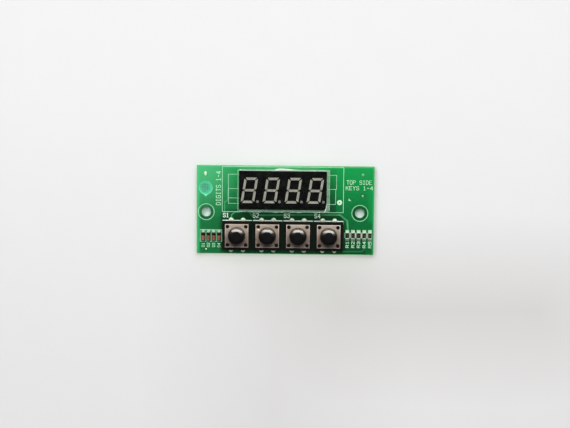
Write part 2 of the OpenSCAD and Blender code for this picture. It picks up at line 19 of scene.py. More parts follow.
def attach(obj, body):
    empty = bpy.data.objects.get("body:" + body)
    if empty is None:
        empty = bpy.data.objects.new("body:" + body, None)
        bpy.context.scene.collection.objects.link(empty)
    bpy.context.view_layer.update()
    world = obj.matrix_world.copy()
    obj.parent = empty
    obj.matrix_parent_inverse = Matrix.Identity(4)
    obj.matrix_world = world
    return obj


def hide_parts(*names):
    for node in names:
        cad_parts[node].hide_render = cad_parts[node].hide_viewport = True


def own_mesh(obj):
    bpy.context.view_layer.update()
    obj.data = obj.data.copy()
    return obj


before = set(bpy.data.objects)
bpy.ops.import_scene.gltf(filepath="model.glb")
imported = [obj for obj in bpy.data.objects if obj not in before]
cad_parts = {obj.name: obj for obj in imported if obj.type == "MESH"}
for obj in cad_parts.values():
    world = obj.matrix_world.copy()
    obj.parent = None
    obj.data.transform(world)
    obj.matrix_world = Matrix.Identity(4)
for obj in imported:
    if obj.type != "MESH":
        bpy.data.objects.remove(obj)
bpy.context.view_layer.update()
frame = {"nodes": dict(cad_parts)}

MM = 0.001
MERGE = 1e-4

# Where the laminate's two faces, the rows of like parts and the screw holes are, in millimetres.
TOP = 3.8
BOTTOM = 2.2
SWITCH_X, SWITCH_Y, SWITCH_PITCH = -20.05, -10.6, 12.7
RESISTOR_X, RESISTOR_Y, RESISTOR_PITCH = 25.9, -10.3, 2.35
DIGIT_X, DIGIT_PITCH = -14.7, 9.0
HOLES = ((-33.0, -1.0), (31.0, -1.0))

# Shared tones, and the parts of its range over which a noise is used.
WHITE = (0.99, 0.995, 1.0, 1.0)
DUST = (0.62, 0.6, 0.56)
NOISE, WIDE_NOISE = (0.3, 0.7), (0.2, 0.8)

LOG = logging.getLogger("display_board")

Colour = tuple[float, float, float]
Point = tuple[float, float]
Triple = tuple[float, float, float]
Stroke = Sequence[Point]
Value = Union[float, Sequence[float], "Wire"]
Sockets = dict[Union[str, int], Value]
Row = tuple[str, float, str, "Finish", str]
ZoneLayer = tuple[Point, Point, float, float, float, Colour]


def paint(red: int, green: int, blue: int) -> Colour:
    """Gives the linear colour of a screen colour, whose parts go from 0 to 255."""
    parts = [part / 255 for part in (red, green, blue)]
    return tuple(p / 12.92 if p <= 0.04045 else ((p + 0.055) / 1.055) ** 2.4 for p in parts)


def add_object(name: str, data: bpy.types.ID) -> bpy.types.Object:
    """Puts an object into the scene.

    Args:
        name: Its name.
        data: Its mesh, lamp or camera.

    Returns:
        The object.
    """
    obj = bpy.data.objects.new(name, data)
    bpy.context.scene.collection.objects.link(obj)
    return obj


class Body(Enum):
    """The moving bodies of the frame."""

    BOARD = "board"
    BUTTON_1 = "button_1"
    BUTTON_2 = "button_2"
    BUTTON_3 = "button_3"
    BUTTON_4 = "button_4"
    LOCK_BAR = "lock_bar"


class Side(Enum):
    """The two faces of the laminate, as (height, way out)."""

    COMPONENT = (TOP, 1.0)
    SOLDER = (BOTTOM, -1.0)


# ------------------------------------------------------------------ shaping


class Form:
    """A mesh while it is being shaped, in millimetres."""

    SHARP = math.radians(35)
    FLAT = math.radians(1)
    SINK = 0.01
    STAGGER = 0.002
    ROUND_END = math.pi / 8

    def __init__(self) -> None:
        """Starts with nothing in it."""
        self.bm = bmesh.new()
        self.softened = False
        self.laid = 0

    @classmethod
    def copy_of(cls, node: str) -> "Form":
        """Starts from a merged copy of a solid of the frame.

        Args:
            node: Name of the solid.

        Returns:
            A form whose flat faces are whole again.
        """
        form = cls()
        bm = form.bm
        bm.from_mesh(frame["nodes"][node].data)
        bmesh.ops.scale(bm, vec=(1 / MM,) * 3, verts=bm.verts)
        bmesh.ops.remove_doubles(bm, verts=bm.verts, dist=MERGE)
        bmesh.ops.dissolve_limit(bm, angle_limit=cls.FLAT, verts=bm.verts, edges=bm.edges)
        return form

    @classmethod
    def lathe(cls, outline: Stroke, steps: int = 32) -> "Form":
        """Starts from an outline spun about the Z axis.

        Args:
            outline: Points of (radius, height), from pole to pole or round to the first point again.
            steps: Facets round the axis.

        Returns:
            The form.
        """
        form = cls()
        bm = form.bm
        verts = [bm.verts.new((radius, 0, height)) for radius, height in outline]
        edges = [bm.edges.new(pair) for pair in zip(verts, verts[1:])]
        bmesh.ops.spin(
            bm, geom=verts + edges, cent=(0, 0, 0), axis=(0, 0, 1), angle=math.tau, steps=steps,
            use_merge=True,
        )
        bmesh.ops.remove_doubles(bm, verts=bm.verts, dist=MERGE)
        bmesh.ops.recalc_face_normals(bm, faces=bm.faces)
        return form

    def soften(self, width: float) -> "Form":
        """Rounds every sharp edge.

        Args:
            width: Width of the rounding.

        Returns:
            The form itself.
        """
        sharp = [e for e in self.bm.edges if e.is_manifold and e.calc_face_angle() > self.SHARP]
        bmesh.ops.bevel(
            self.bm, geom=sharp, offset=width, offset_type="OFFSET", segments=2, profile=0.5,
            affect="EDGES", clamp_overlap=True, material=-1,
        )
        self.softened = True
        return self

    def stamp(self, other: "Form", places: Iterable[Point], z: float = 0) -> "Form":
        """Adds copies of another form.

        Args:
            other: The form to copy.
            places: Where each copy goes, seen from above.
            z: The height of all of them.

        Returns:
            The form itself.
        """
        mesh = bpy.data.meshes.new("copy")
        other.bm.to_mesh(mesh)
        for place in places:
            before = len(self.bm.verts)
            self.bm.from_mesh(mesh)
            self.bm.verts.ensure_lookup_table()
            bmesh.ops.translate(self.bm, vec=(*place, z), verts=self.bm.verts[before:])
        bpy.data.meshes.remove(mesh)
        return self

    def thicken(self, corners: Sequence[bmesh.types.BMVert], height: float) -> list[bmesh.types.BMVert]:
        """Makes a block of a lone face.

        Args:
            corners: The corners of the face.
            height: How far its copy is moved along Z.

        Returns:
            The corners of the copy.
        """
        raised = bmesh.ops.extrude_face_region(self.bm, geom=list(corners[0].link_faces))["geom"]
        moved = [v for v in raised if isinstance(v, bmesh.types.BMVert)]
        bmesh.ops.translate(self.bm, vec=(0, 0, height), verts=moved)
        return moved

    def stroke(
        self, points: Stroke, width: float, height: float = 0.05, side: Side = Side.COMPONENT,
    ) -> None:
        """Lays a flat line with round ends and joints on the laminate.

        It reaches a little into the laminate, so that no gap shows, and no two of its parts that
        follow each other are equally high, so that their faces don't fight.

        Args:
            points: The points that it runs through.
            width: Its width.
            height: How far it stands out of that face.
            side: The face that it lies on.
        """
        level, out = side.value
        for (x0, y0), (x1, y1) in zip(points, points[1:]):
            self.laid += 1
            start, run = Vector((x0, y0, level - out * self.SINK)), Vector((x1 - x0, y1 - y0, 0))
            turn = Matrix.Rotation(math.atan2(run.y, run.x) + self.ROUND_END, 4, "Z")
            verts = bmesh.ops.create_circle(
                self.bm, cap_ends=True, radius=width / 2 / math.cos(self.ROUND_END), segments=8,
                matrix=Matrix.Translation(start) @ turn,
            )["verts"]
            ahead = [v for v in verts if (v.co - start).dot(run) > 0]
            bmesh.ops.translate(self.bm, vec=run, verts=ahead)
            moved = self.thicken(verts, out * (height + self.SINK + self.STAGGER * (self.laid % 4)))
            if out < 0:
                shell = list({f for v in list(verts) + moved for f in v.link_faces})
                bmesh.ops.reverse_faces(self.bm, faces=shell)

    def piece(
        self, name: str, finish: "Finish", slot: str, replaces: Sequence[str] = (), smooth: float = 40,
        body: Body = Body.BOARD,
    ) -> bpy.types.Object:
        """Ends the shaping and makes the form a piece of the object.

        Args:
            name: Name of the piece.
            finish: What it is dressed in.
            slot: The record's material slot; not used.
            replaces: The solids that it stands for.
            smooth: Edges flatter than this angle are shaded smooth, in degrees.
            body: The body that it rides on.

        Returns:
            The new object.
        """
        mesh = bpy.data.meshes.new(name)
        bmesh.ops.scale(self.bm, vec=(MM,) * 3, verts=self.bm.verts)
        self.bm.to_mesh(mesh)
        self.bm.free()
        mesh.shade_smooth()
        mesh.set_sharp_from_angle(angle=math.radians(smooth))
        mesh.materials.append(finish.material())
        obj = add_object(name, mesh)
        if self.softened:
            even = obj.modifiers.new("even_shading", "WEIGHTED_NORMAL")
            even.mode, even.weight, even.keep_sharp = "FACE_AREA", 50, True
        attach(obj, body.value)
        if replaces:
            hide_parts(*replaces)
        LOG.info("built %s, %d faces", name, len(mesh.polygons))
        return obj


def dress(finish: "Finish", *nodes: str) -> None:
    """Dresses solids of the frame that stay as they are.

    Args:
        finish: What they are dressed in.
        nodes: Names of the solids.
    """
    for node in nodes:
        materials = frame["nodes"][node].data.materials
        materials.clear()
        materials.append(finish.material())
        LOG.info("dressed %s in %s", node, finish.name)


def round_off(*rows: Row, body: Body = Body.BOARD) -> None:
    """Puts rounded copies in the place of solids, from rows of (solid, rounding, name, finish, slot)."""
    for node, width, name, finish, slot in rows:
        Form.copy_of(node).soften(width).piece(name, finish, slot, [node], body=body)


# ------------------------------------------------------------------ shading


class Wire:
    """An output socket of a tree. Arithmetic with it adds the nodes that do the sum."""

    def __init__(self, tree: "Tree", socket: bpy.types.NodeSocket) -> None:
        """Holds the socket and its tree."""
        self.tree, self.socket = tree, socket

    def __add__(self, other: Value) -> "Wire":
        """Gives this plus another."""
        return self.tree.math("ADD", self, other)

    def __sub__(self, other: Value) -> "Wire":
        """Gives this less another."""
        return self.tree.math("SUBTRACT", self, other)

    def __rsub__(self, other: float) -> "Wire":
        """Gives a number less this."""
        return self.tree.math("SUBTRACT", other, self)

    def __mul__(self, other: Value) -> "Wire":
        """Gives this times another."""
        return self.tree.math("MULTIPLY", self, other)

    def __truediv__(self, other: Value) -> "Wire":
        """Gives this over another."""
        return self.tree.math("DIVIDE", self, other)

    def __rtruediv__(self, other: float) -> "Wire":
        """Gives a number over this."""
        return self.tree.math("DIVIDE", other, self)

    def __abs__(self) -> "Wire":
        """Gives this without its sign."""
        return self.tree.math("ABSOLUTE", self)

    def step(self, low: Value, high: Value, start: float = 0.0, end: float = 1.0) -> "Wire":
        """Gives start below low and end above high, with a smooth change between them."""
        inputs = {0: self, 1: low, 2: high, 3: start, 4: end}
        return self.tree.add("ShaderNodeMapRange", inputs, interpolation_type="SMOOTHSTEP")


class Tree:
    """The nodes of one material, world or node group."""

    def __init__(self, tree: bpy.types.NodeTree) -> None:
        """Starts on a tree, emptied of what it holds."""
        self.tree = tree
        tree.nodes.clear()

    @classmethod
    def of(cls, owner: Union[bpy.types.Material, bpy.types.World]) -> "Tree":
        """Starts on the tree of a new material or world."""
        owner.use_nodes = True
        return cls(owner.node_tree)

    def node(self, kind: str, inputs: Optional[Sockets] = None, **settings: object) -> bpy.types.Node:
        """Adds a node.

        Args:
            kind: Blender's name for the kind of node.
            inputs: What goes into its sockets.
            settings: Its other settings.

        Returns:
            The node.
        """
        node = self.tree.nodes.new(kind)
        for key, value in settings.items():
            setattr(node, key, value)
        for key, value in (inputs or {}).items():
            if isinstance(value, Wire):
                self.tree.links.new(value.socket, node.inputs[key])
            else:
                node.inputs[key].default_value = value
        return node

    def add(
        self, kind: str, inputs: Optional[Sockets] = None, output: Union[str, int] = 0, **settings: object,
    ) -> Wire:
        """Adds a node, as node does, and gives one of its outputs."""
        return Wire(self, self.node(kind, inputs, **settings).outputs[output])

    def math(self, operation: str, *values: Value) -> Wire:
        """Adds a Math node and gives its output."""
        return self.add("ShaderNodeMath", dict(enumerate(values)), operation=operation)

    def vector(self, operation: str, *values: Value) -> Wire:
        """Adds a Vector Math node and gives its first output."""
        return self.add("ShaderNodeVectorMath", dict(enumerate(values)), operation=operation)

    def most(self, *values: Value) -> Wire:
        """Gives the greatest of some values."""
        return reduce(lambda first, second: self.math("MAXIMUM", first, second), values)

    def clamp(self, value: Value) -> Wire:
        """Gives a value held between 0 and 1."""
        return self.add("ShaderNodeClamp", {0: value})

    def repeat(self, value: Value, first: float, pitch: float) -> Wire:
        """Gives how far a value is past the nearest place of an even row that starts at the first."""
        return self.math("WRAP", value, first + pitch / 2, first - pitch / 2) - first

    def place(self) -> Wire:
        """Gives the point's place in millimetres."""
        return self.vector("MULTIPLY", self.add("ShaderNodeTexCoord", output="Object"), (1 / MM,) * 3)

    def xyz(self, vector: Optional[Wire] = None) -> list[Wire]:
        """Gives the three parts of a vector, or else of the point's place."""
        node = self.node("ShaderNodeSeparateXYZ", {0: vector or self.place()})
        return [Wire(self, socket) for socket in node.outputs]

    def length(self, x: Value, y: Value) -> Wire:
        """Gives the length of a flat vector."""
        flat = self.add("ShaderNodeCombineXYZ", {0: x, 1: y})
        return self.add("ShaderNodeVectorMath", {0: flat}, "Value", operation="LENGTH")

    def blend(self, mask: Value, first: Value, second: Value) -> Wire:
        """Gives the first colour where the mask is 0 and the second where it is 1."""
        first, second = ((*v, 1.0) if isinstance(v, tuple) else v for v in (first, second))
        return self.add("ShaderNodeMix", {0: mask, 6: first, 7: second}, 2, data_type="RGBA")

    def layers(self, tone: Value, *layers: tuple[Value, Value]) -> Wire:
        """Gives a tone with colours laid over it in turn, each of them given as (mask, colour)."""
        return reduce(lambda under, layer: self.blend(layer[0], under, layer[1]), layers, tone)

    def shared(self, name: str, output: str, build: Callable[..., Wire], **inputs: Value) -> Wire:
        """Gives the output of a shared node group, which is built the first time that it is asked for."""
        group = bpy.data.node_groups.get(name) or new_group(name, output, build, inputs)
        return self.add("ShaderNodeGroup", inputs, node_tree=group)

    def grain(self, size: float, detail: float = 2.0, stretch: Triple = (1.0, 1.0, 1.0)) -> Wire:
        """Gives the shared grain's height, with features of a size in millimetres, times the stretch."""
        return self.shared("shared_grain", "Height", build_grain, Size=size, Detail=detail, Stretch=stretch)

    def spots(self, size: float, low: float, high: float) -> Wire:
        """Gives the shared mottling's mask, which rises where its noise goes from low to high."""
        return self.shared("shared_spots", "Mask", build_spots, Size=size, Low=low, High=high)

    def zone(self, centre: Point, half: Point, corner: float, edge: float = 0.05) -> Wire:
        """Gives the mask of a rectangle, from its middle, half sides, corner radius and fade."""
        vectors = {"Centre": (*centre, 0.0), "Half": (*half, 0.0)}
        return self.shared("shared_zone", "Mask", build_zone, **vectors, Corner=corner, Edge=edge)

    def zone_layer(
        self, centre: Point, half: Point, corner: float, edge: float, share: float, colour: Colour,
    ) -> tuple[Wire, Colour]:
        """Gives the layer of a colour that covers a zone by a share, for the layers method."""
        return self.zone(centre, half, corner, edge) * share, colour

    def relief(self, height: Value, depth: float, strength: float = 1.0) -> Wire:
        """Gives the normal of a relief, from its height and what a height of 1 is in millimetres."""
        return self.add("ShaderNodeBump", {"Height": height, "Distance": depth * MM, "Strength": strength})


def new_group(name: str, output: str, build: Callable[..., Wire], inputs: Sockets) -> bpy.types.NodeTree:
    """Makes a node group.

    Args:
        name: Its name.
        output: Name of its one output.
        build: Joins up its inside, given its nodes and its inputs in order, and gives what it puts out.
        inputs: Name and default of each input.

    Returns:
        The group.
    """
    group = bpy.data.node_groups.new(name, "ShaderNodeTree")
    for label, default in inputs.items():
        kind = "NodeSocketVector" if isinstance(default, tuple) else "NodeSocketFloat"
        group.interface.new_socket(label, in_out="INPUT", socket_type=kind).default_value = default
    group.interface.new_socket(output, in_out="OUTPUT", socket_type="NodeSocketFloat")
    tree = Tree(group)
    entry = tree.node("NodeGroupInput")
    tree.node("NodeGroupOutput", {0: build(tree, *(Wire(tree, entry.outputs[label]) for label in inputs))})
    return group


def build_grain(tree: Tree, size: Wire, detail: Wire, stretch: Wire) -> Wire:
    """Joins up the shared grain: noise of a size in millimetres, stretched along the axes."""
    place = tree.vector("DIVIDE", tree.place(), stretch)
    return tree.add("ShaderNodeTexNoise", {"Vector": place, "Scale": 1.0 / size, "Detail": detail})


def build_spots(tree: Tree, size: Wire, low: Wire, high: Wire) -> Wire:
    """Joins up the shared mottling, for dust, stains and speckles."""
    inputs = {"Vector": tree.place(), "Scale": 1.0 / size, "Detail": 4.0}
    return tree.add("ShaderNodeTexNoise", inputs).step(low, high)


def build_zone(tree: Tree, centre: Wire, half: Wire, corner: Wire, edge: Wire) -> Wire:
    """Joins up the mask of a rectangle: the distance to its round corners, and a threshold.

    Args:
        tree: The group's tree.
        centre: Its middle.
        half: Half of each side.
        corner: Radius of its corners.
        edge: Width over which it fades out.

    Returns:
        The mask.
    """
    away = tree.vector("ABSOLUTE", tree.vector("SUBTRACT", tree.place(), centre))
    x, y, _ = tree.xyz(tree.vector("SUBTRACT", away, half))
    outer = tree.length(tree.most(x + corner, 0.0), tree.most(y + corner, 0.0))
    inner = tree.math("MINIMUM", tree.most(x, y), corner * -1.0)
    distance = (outer - corner) + (inner + corner)
    return tree.clamp(0.5 - distance / edge)


@dataclass(frozen=True)
class Finish:
    """What every finish has."""

    name: str
    colour: Colour
    shade: Colour
    roughness: float = 0.5

    def material(self) -> bpy.types.Material:
        """Makes the material, or finds the one that is already made.

        Returns:
            The material.
        """
        found = bpy.data.materials.get(self.name)
        if found:
            return found
        material = bpy.data.materials.new(self.name)
        tree = Tree.of(material)
        inputs = {"Roughness": self.roughness, **self.sockets(tree)}
        tree.node("ShaderNodeOutputMaterial", {"Surface": tree.add("ShaderNodeBsdfPrincipled", inputs)})
        material.diffuse_color = (*self.colour, 1)
        return material

    def sockets(self, tree: Tree) -> Sockets:
        """Gives what goes into the shader's sockets."""
        raise NotImplementedError


@dataclass(frozen=True)
class Moulded(Finish):
    """Moulded plastic, glaze or ceramic: fine grain, uneven tone and a little dust."""

    grain: float = 0.12
    depth: float = 0.01
    blotch: float = 1.5
    dust: float = 0.15
    coat: float = 0.0
    index: float = 1.5

    def sockets(self, tree: Tree) -> Sockets:
        """Gives the tone, roughness and grain.

        Args:
            tree: The material's nodes.

        Returns:
            What goes into the shader's sockets.
        """
        blotches = tree.spots(self.blotch, 0.35, 0.7)
        dust = tree.spots(self.grain * 2.5, 0.58, 0.72) * self.dust
        return {
            "Base Color": tree.layers(self.colour, (blotches, self.shade), (dust, DUST)),
            "Roughness": tree.grain(self.blotch).step(*NOISE, self.roughness * 0.85, self.roughness * 1.15),
            "Normal": tree.relief(tree.grain(self.grain, 3), self.depth),
            "Coat Weight": self.coat,
            "Coat Roughness": 0.2,
            "IOR": self.index,
        }


@dataclass(frozen=True)
class ButtonPlastic(Moulded):
    """Plunger plastic: satin on its side, and polished by fingers on its top."""

    shoulder: Point = (10.15, 10.55)
    side_coat: float = 0.15

    def sockets(self, tree: Tree) -> Sockets:
        """Gives the plastic's sockets with a gloss that fades down the side."""
        gloss = tree.xyz()[2].step(*self.shoulder, self.side_coat, self.coat)
        return {**super().sockets(tree), "Coat Weight": gloss}


@dataclass(frozen=True)
class Overglaze(Moulded):
    """Dark glaze on top of the chip resistors, paler in its middle."""

    middle: Colour = paint(74, 72, 58)

    def sockets(self, tree: Tree) -> Sockets:
        """Gives the glaze's sockets with a paler middle.

        Args:
            tree: The material's nodes.

        Returns:
            What goes into the shader's sockets.
        """
        sockets = super().sockets(tree)
        x, y, _ = tree.xyz()
        across = abs(tree.repeat(x, RESISTOR_X, RESISTOR_PITCH)).step(0.1, 0.4, 0.8, 0.0)
        middle = across * abs(y - RESISTOR_Y).step(0.2, 0.55, 1.0, 0.0)
        return {**sockets, "Base Color": tree.blend(middle, sockets["Base Color"], self.middle)}


@dataclass(frozen=True)
class Metal(Finish):
    """Bare or plated metal with fine lines along one axis and a few dull spots."""

    stretch: Triple = (12, 1, 1)
    line: float = 0.05
    depth: float = 0.004
    patch: float = 0.5

    def sockets(self, tree: Tree) -> Sockets:
        """Gives the tone, roughness and lines.

        Args:
            tree: The material's nodes.

        Returns:
            What goes into the shader's sockets.
        """
        lines = tree.grain(self.line, 3, self.stretch)
        tone_patches = tree.spots(0.9, 0.45, 0.75) * self.patch
        bright = lines.step(*NOISE, 0.0, 0.22)
        return {
            "Base Color": tree.layers(self.colour, (tone_patches, self.shade), (bright, self.shade)),
            "Metallic": 1.0,
            "Roughness": lines.step(*WIDE_NOISE, self.roughness * 0.75, self.roughness * 1.3),
            "Normal": tree.relief(lines, self.depth),
        }


@dataclass(frozen=True)
class Solder(Finish):
    """Solder with a faintly frosted skin, and painted shade that darkens it towards the board's lower edge, so
    that the joints between display and buttons stay brighter.
    """

    metal: float = 0.6
    # far is the share of the solder's own tone that is kept where the painted shade falls.
    far: float = 1.0
    core: float = 0.0
    dim: float = 0.0
    pin: Point = (2.5, -4.35)
    dim_tone: Colour = paint(70, 160, 104)
    core_tone: Colour = paint(96, 84, 76)
    # Tone of the painted shade on solder low on the board.
    painted_shade_tone: Colour = paint(66, 96, 72)
    dim_x: Point = (20.0, 26.0)
    # Span along Y over which the painted shade fades in, towards the lower edge.
    painted_shade_y: Point = (-12.6, -9.2)

    def sockets(self, tree: Tree) -> Sockets:
        """Gives the tone, roughness and skin.

        Args:
            tree: The material's nodes.

        Returns:
            What goes into the shader's sockets.
        """
        frost = tree.spots(0.35, 0.42, 0.66)
        x, y, _ = tree.xyz()
        tone = tree.blend(frost, self.colour, self.shade)
        if self.dim:
            tone = tree.blend(x.step(*self.dim_x, 0.0, self.dim), tone, self.dim_tone)
        if self.core:
            beside = abs(tree.repeat(x, SWITCH_X, SWITCH_PITCH)) - self.pin[0]
            core = tree.length(beside, y - self.pin[1]).step(0.25, 0.6, self.core, 0.0)
            tone = tree.blend(core, tone, self.core_tone)
        # Painted shade: solder low on the board is darkened by a share of one less far.
        painted_shade = y.step(*self.painted_shade_y, 1.0 - self.far, 0.0)
        return {
            "Base Color": tree.blend(painted_shade, tone, self.painted_shade_tone),
            "Metallic": self.metal,
            "Roughness": frost * 0.18 + self.roughness,
            "Normal": tree.relief(tree.grain(0.28, 2), 0.02),
        }


@dataclass(frozen=True)
class CoverSheet(Finish):
    """Stamped and brushed cover sheet of the push buttons, with a painted highlight along its rim, and painted
    shade towards its lower edge, on its folded sides and round its hole.
    """

    # rim is the colour of a painted highlight along the bend of the rim.
    rim: Colour = paint(244, 236, 228)
    # low, side and hole are painted shade: towards the lower edge, on the folded sides, and round the
    # plunger's hole.
    low: Colour = paint(96, 84, 77)
    side: Colour = paint(26, 22, 20)
    hole: Colour = paint(70, 45, 35)
    rim_highlight_at: Point = (4.54, 4.7)
    fold_shade_at: Point = (4.78, 4.88)
    fold_shade_z: Point = (6.7, 6.9)
    hole_shadow_r: Point = (3.85, 3.6)
    lower_shade_y: Point = (-2.4, 5.0)

    def sockets(self, tree: Tree) -> Sockets:
        """Gives the tone, roughness and brush lines.

        Args:
            tree: The material's nodes.

        Returns:
            What goes into the shader's sockets.
        """
        x, y, z = tree.xyz()
        x, y = tree.repeat(x, SWITCH_X, SWITCH_PITCH), y - SWITCH_Y
        across = tree.most(abs(x), abs(y))
        lines, smear = tree.grain(0.09, 4, (14, 1, 1)), tree.grain(2.2, 2)
        tone = tree.layers(
            self.colour,
            (smear.step(*NOISE, 0.0, 0.45), self.shade),
            (lines.step(0.25, 0.75, 0.0, 0.3), self.shade),
            # Painted highlight along the rim.
            (across.step(*self.rim_highlight_at, 0.0, 0.75), self.rim),
            # Painted shade towards the lower edge and on the folded sides, and a painted shadow round the
            # plunger's hole.
            (y.step(*self.lower_shade_y, 0.68, 0.0), self.low),
            (across.step(*self.fold_shade_at) * z.step(*self.fold_shade_z), self.side),
            (tree.length(x, y).step(*self.hole_shadow_r, 0.0, 0.6), self.hole),
        )
        return {
            "Base Color": tone,
            "Metallic": 1.0,
            "Roughness": lines.step(*WIDE_NOISE, self.roughness * 0.8, self.roughness * 1.25),
            "Normal": tree.relief(smear * 0.05 + lines, 0.003),
        }


@dataclass(frozen=True)
class MaskedLaminate(Finish):
    """The bare board: green mask on both faces over copper or laminate, with painted light and shade in the
    mask's tone, and pale cut edges.
    """

    laminate: Colour = paint(150, 220, 160)
    ply: Colour = paint(150, 168, 112)
    copper: Colour = paint(2, 124, 60)
    # Painted sheen, lighter towards the top edge of the board.
    painted_sheen: Colour = paint(5, 178, 84)
    # deep serves both the mask's random darker mottling and its painted shade.
    deep: Colour = paint(3, 66, 34)
    # Painted glow along the board's edges.
    painted_glow: Colour = paint(72, 206, 126)
    # Painted reflection of a bright light at the board's upper left.
    painted_reflection: Colour = paint(104, 208, 152)
    border: float = 0.18
    length: float = 74.0
    width: float = 37.0
    bevel: float = 0.015
    painted_sheen_y: Point = (-2.0, 20.0)
    shade_gradient_y: Point = (-16.0, 12.0)
    painted_reflection_x: Point = (-37.0, -13.0)
    painted_reflection_y: Point = (-6.0, 19.5)
    warp: float = 0.55
    weft: float = 0.62
    # Patches of tone, as (centre, half sides, corner, fade, share, colour): a paler strip along the top edge
    # above the display, two darker patches left of the display, and a painted glow at the right end.
    tone_patches: tuple[ZoneLayer, ...] = (
        ((-3.0, 18.0), (16.0, 0.7), 0.5, 2.0, 1.0, paint(84, 150, 108)),
        ((-23.2, 9.2), (3.2, 8.0), 1.0, 1.5, 0.14, deep),
        ((-22.0, 5.0), (1.5, 2.5), 1.0, 1.5, 0.22, deep),
        ((35.8, 2.5), (1.0, 7.0), 1.0, 2.5, 0.4, paint(6, 176, 84)),
    )
    shadow: ZoneLayer = ((-1.0, -9.8), (26.0, 7.4), 1.5, 2.2, 0.62, paint(2, 44, 22))
    # Inside this zone no painted glow falls.
    middle: tuple[Point, Point, float, float] = ((0.35, -0.4), (36.2, 18.3), 0.8, 1.3)
    poured: tuple[tuple[Point, Point, float], ...] = (
        ((-31.8, 4.85), (4.9, 13.35), 0.6), ((30.2, 5.2), (6.5, 13.0), 0.6), ((22.4, 8.4), (1.35, 9.3), 0.4),
        ((-23.2, 9.2), (3.6, 8.9), 0.4), ((-31.9, -12.6), (4.8, 5.4), 0.6), ((35.1, -12.6), (1.6, 5.6), 0.6),
        ((1.0, 17.45), (25.5, 0.62), 0.3),
    )
    cleared: tuple[tuple[Point, Point], ...] = (
        (HOLES[0], (3.05, 3.05)), (HOLES[1], (3.05, 3.05)), ((32.1, 15.05), (1.0, 1.0)),
        ((32.1, 6.2), (1.0, 1.0)), ((-33.35, 14.95), (0.9, 1.35)), ((-33.0, -16.6), (0.8, 0.8)),
    )

    def sockets(self, tree: Tree) -> Sockets:
        """Gives the tone of mask and cut edge, the gloss and the relief of the copper.

        Args:
            tree: The material's nodes.

        Returns:
            What goes into the shader's sockets.
        """
        x, y, z = tree.xyz()
        held, weave = self.held(tree), self.weave(tree, x, y)
        tone = tree.layers(
            self.colour,
            (weave * 0.25, self.shade),
            (held, self.copper),
            (tree.spots(6.0, 0.4, 0.7) * 0.25, self.shade),
            (tree.spots(1.1, 0.42, 0.62) * 0.16, self.deep),
            # Painted sheen growing towards the top edge.
            (y.step(*self.painted_sheen_y, 0.0, 0.55), self.painted_sheen),
            # Painted shade deepening towards the bottom edge.
            (y.step(*self.shade_gradient_y, 0.42, 0.0), self.deep),
            # Painted reflection at the upper left.
            (x.step(*self.painted_reflection_x, 0.55, 0.0) * y.step(*self.painted_reflection_y, 0.1, 1.0), self.painted_reflection),
            # Patches of tone, the last of them a painted glow at the right end.
            *(tree.zone_layer(*patch) for patch in self.tone_patches),
            # Painted glow along the edges, then the painted shadow round the buttons.
            ((1.0 - tree.zone(*self.middle)) * 0.6, self.painted_glow),
            tree.zone_layer(*self.shadow),
        )
        surface = (TOP - BOTTOM) / 2
        face = abs(z - (TOP + BOTTOM) / 2).step(surface - self.bevel, surface - self.bevel / 3)
        half = (self.length / 2 - self.border, self.width / 2 - self.border)
        ragged = tree.clamp(tree.zone((0.0, 0.0), half, 0.3, 0.08) + (tree.grain(0.5) * 0.6 - 0.3))
        masked = face * ragged.step(*NOISE)
        plies = tree.grain(0.16, 2, (9, 9, 0.6)).step(0.35, 0.65, 0.0, 0.7)
        bare = tree.blend(plies, self.laminate, self.ply)
        return {
            "Base Color": tree.blend(masked, bare, tone),
            "Roughness": masked.step(0.0, 1.0, 0.85, self.roughness),
            "Normal": tree.relief(held * 0.8 + weave * 0.1 + tree.grain(0.9, 3) * 0.18, 0.035, 0.6),
            "IOR": 1.38,
        }

    def held(self, tree: Tree) -> Wire:
        """Draws the poured copper, less the clearings round holes and test pads.

        Args:
            tree: The material's nodes.

        Returns:
            Its mask.
        """
        held = tree.most(*(tree.zone(*area, 0.12) for area in self.poured))
        for centre, half in self.cleared:
            held = held * (1.0 - tree.zone(centre, half, min(half), 0.1))
        return held

    def weave(self, tree: Tree, x: Wire, y: Wire) -> Wire:
        """Draws the faint weave of the glass cloth.

        Args:
            tree: The material's nodes.
            x: The place along the board.
            y: The place across the board.

        Returns:
            Its height, from 0 to 1.
        """
        ways = ((x, self.warp), (y, self.weft))
        warp, weft = (tree.math("SINE", way * (math.tau / pitch)) for way, pitch in ways)
        return (warp * weft).step(-0.8, 0.8)


@dataclass(frozen=True)
class MaskedTrack(Finish):
    """Copper track under the green mask, with painted shade in the strip between display and buttons."""

    tone_patches: tuple[ZoneLayer, ...] = (
        # Painted shade in the strip between display and buttons, then a darker patch on the track low at the
        # right.
        ((4.0, -3.0), (18.0, 4.0), 2.0, 5.0, 0.4, paint(10, 60, 34)),
        ((28.0, -17.0), (6.0, 1.0), 0.5, 0.5, 1.0, paint(30, 122, 72)),
    )

    def sockets(self, tree: Tree) -> Sockets:
        """Gives the tone and gloss.

        Args:
            tree: The material's nodes.

        Returns:
            What goes into the shader's sockets.
        """
        layers = (tree.spots(2.5, 0.35, 0.7), self.shade), *(tree.zone_layer(*patch) for patch in self.tone_patches)
        tone = tree.layers(self.colour, *layers)
        return {"Base Color": tone, "Normal": tree.relief(tree.grain(0.6, 3), 0.012), "IOR": 1.42}


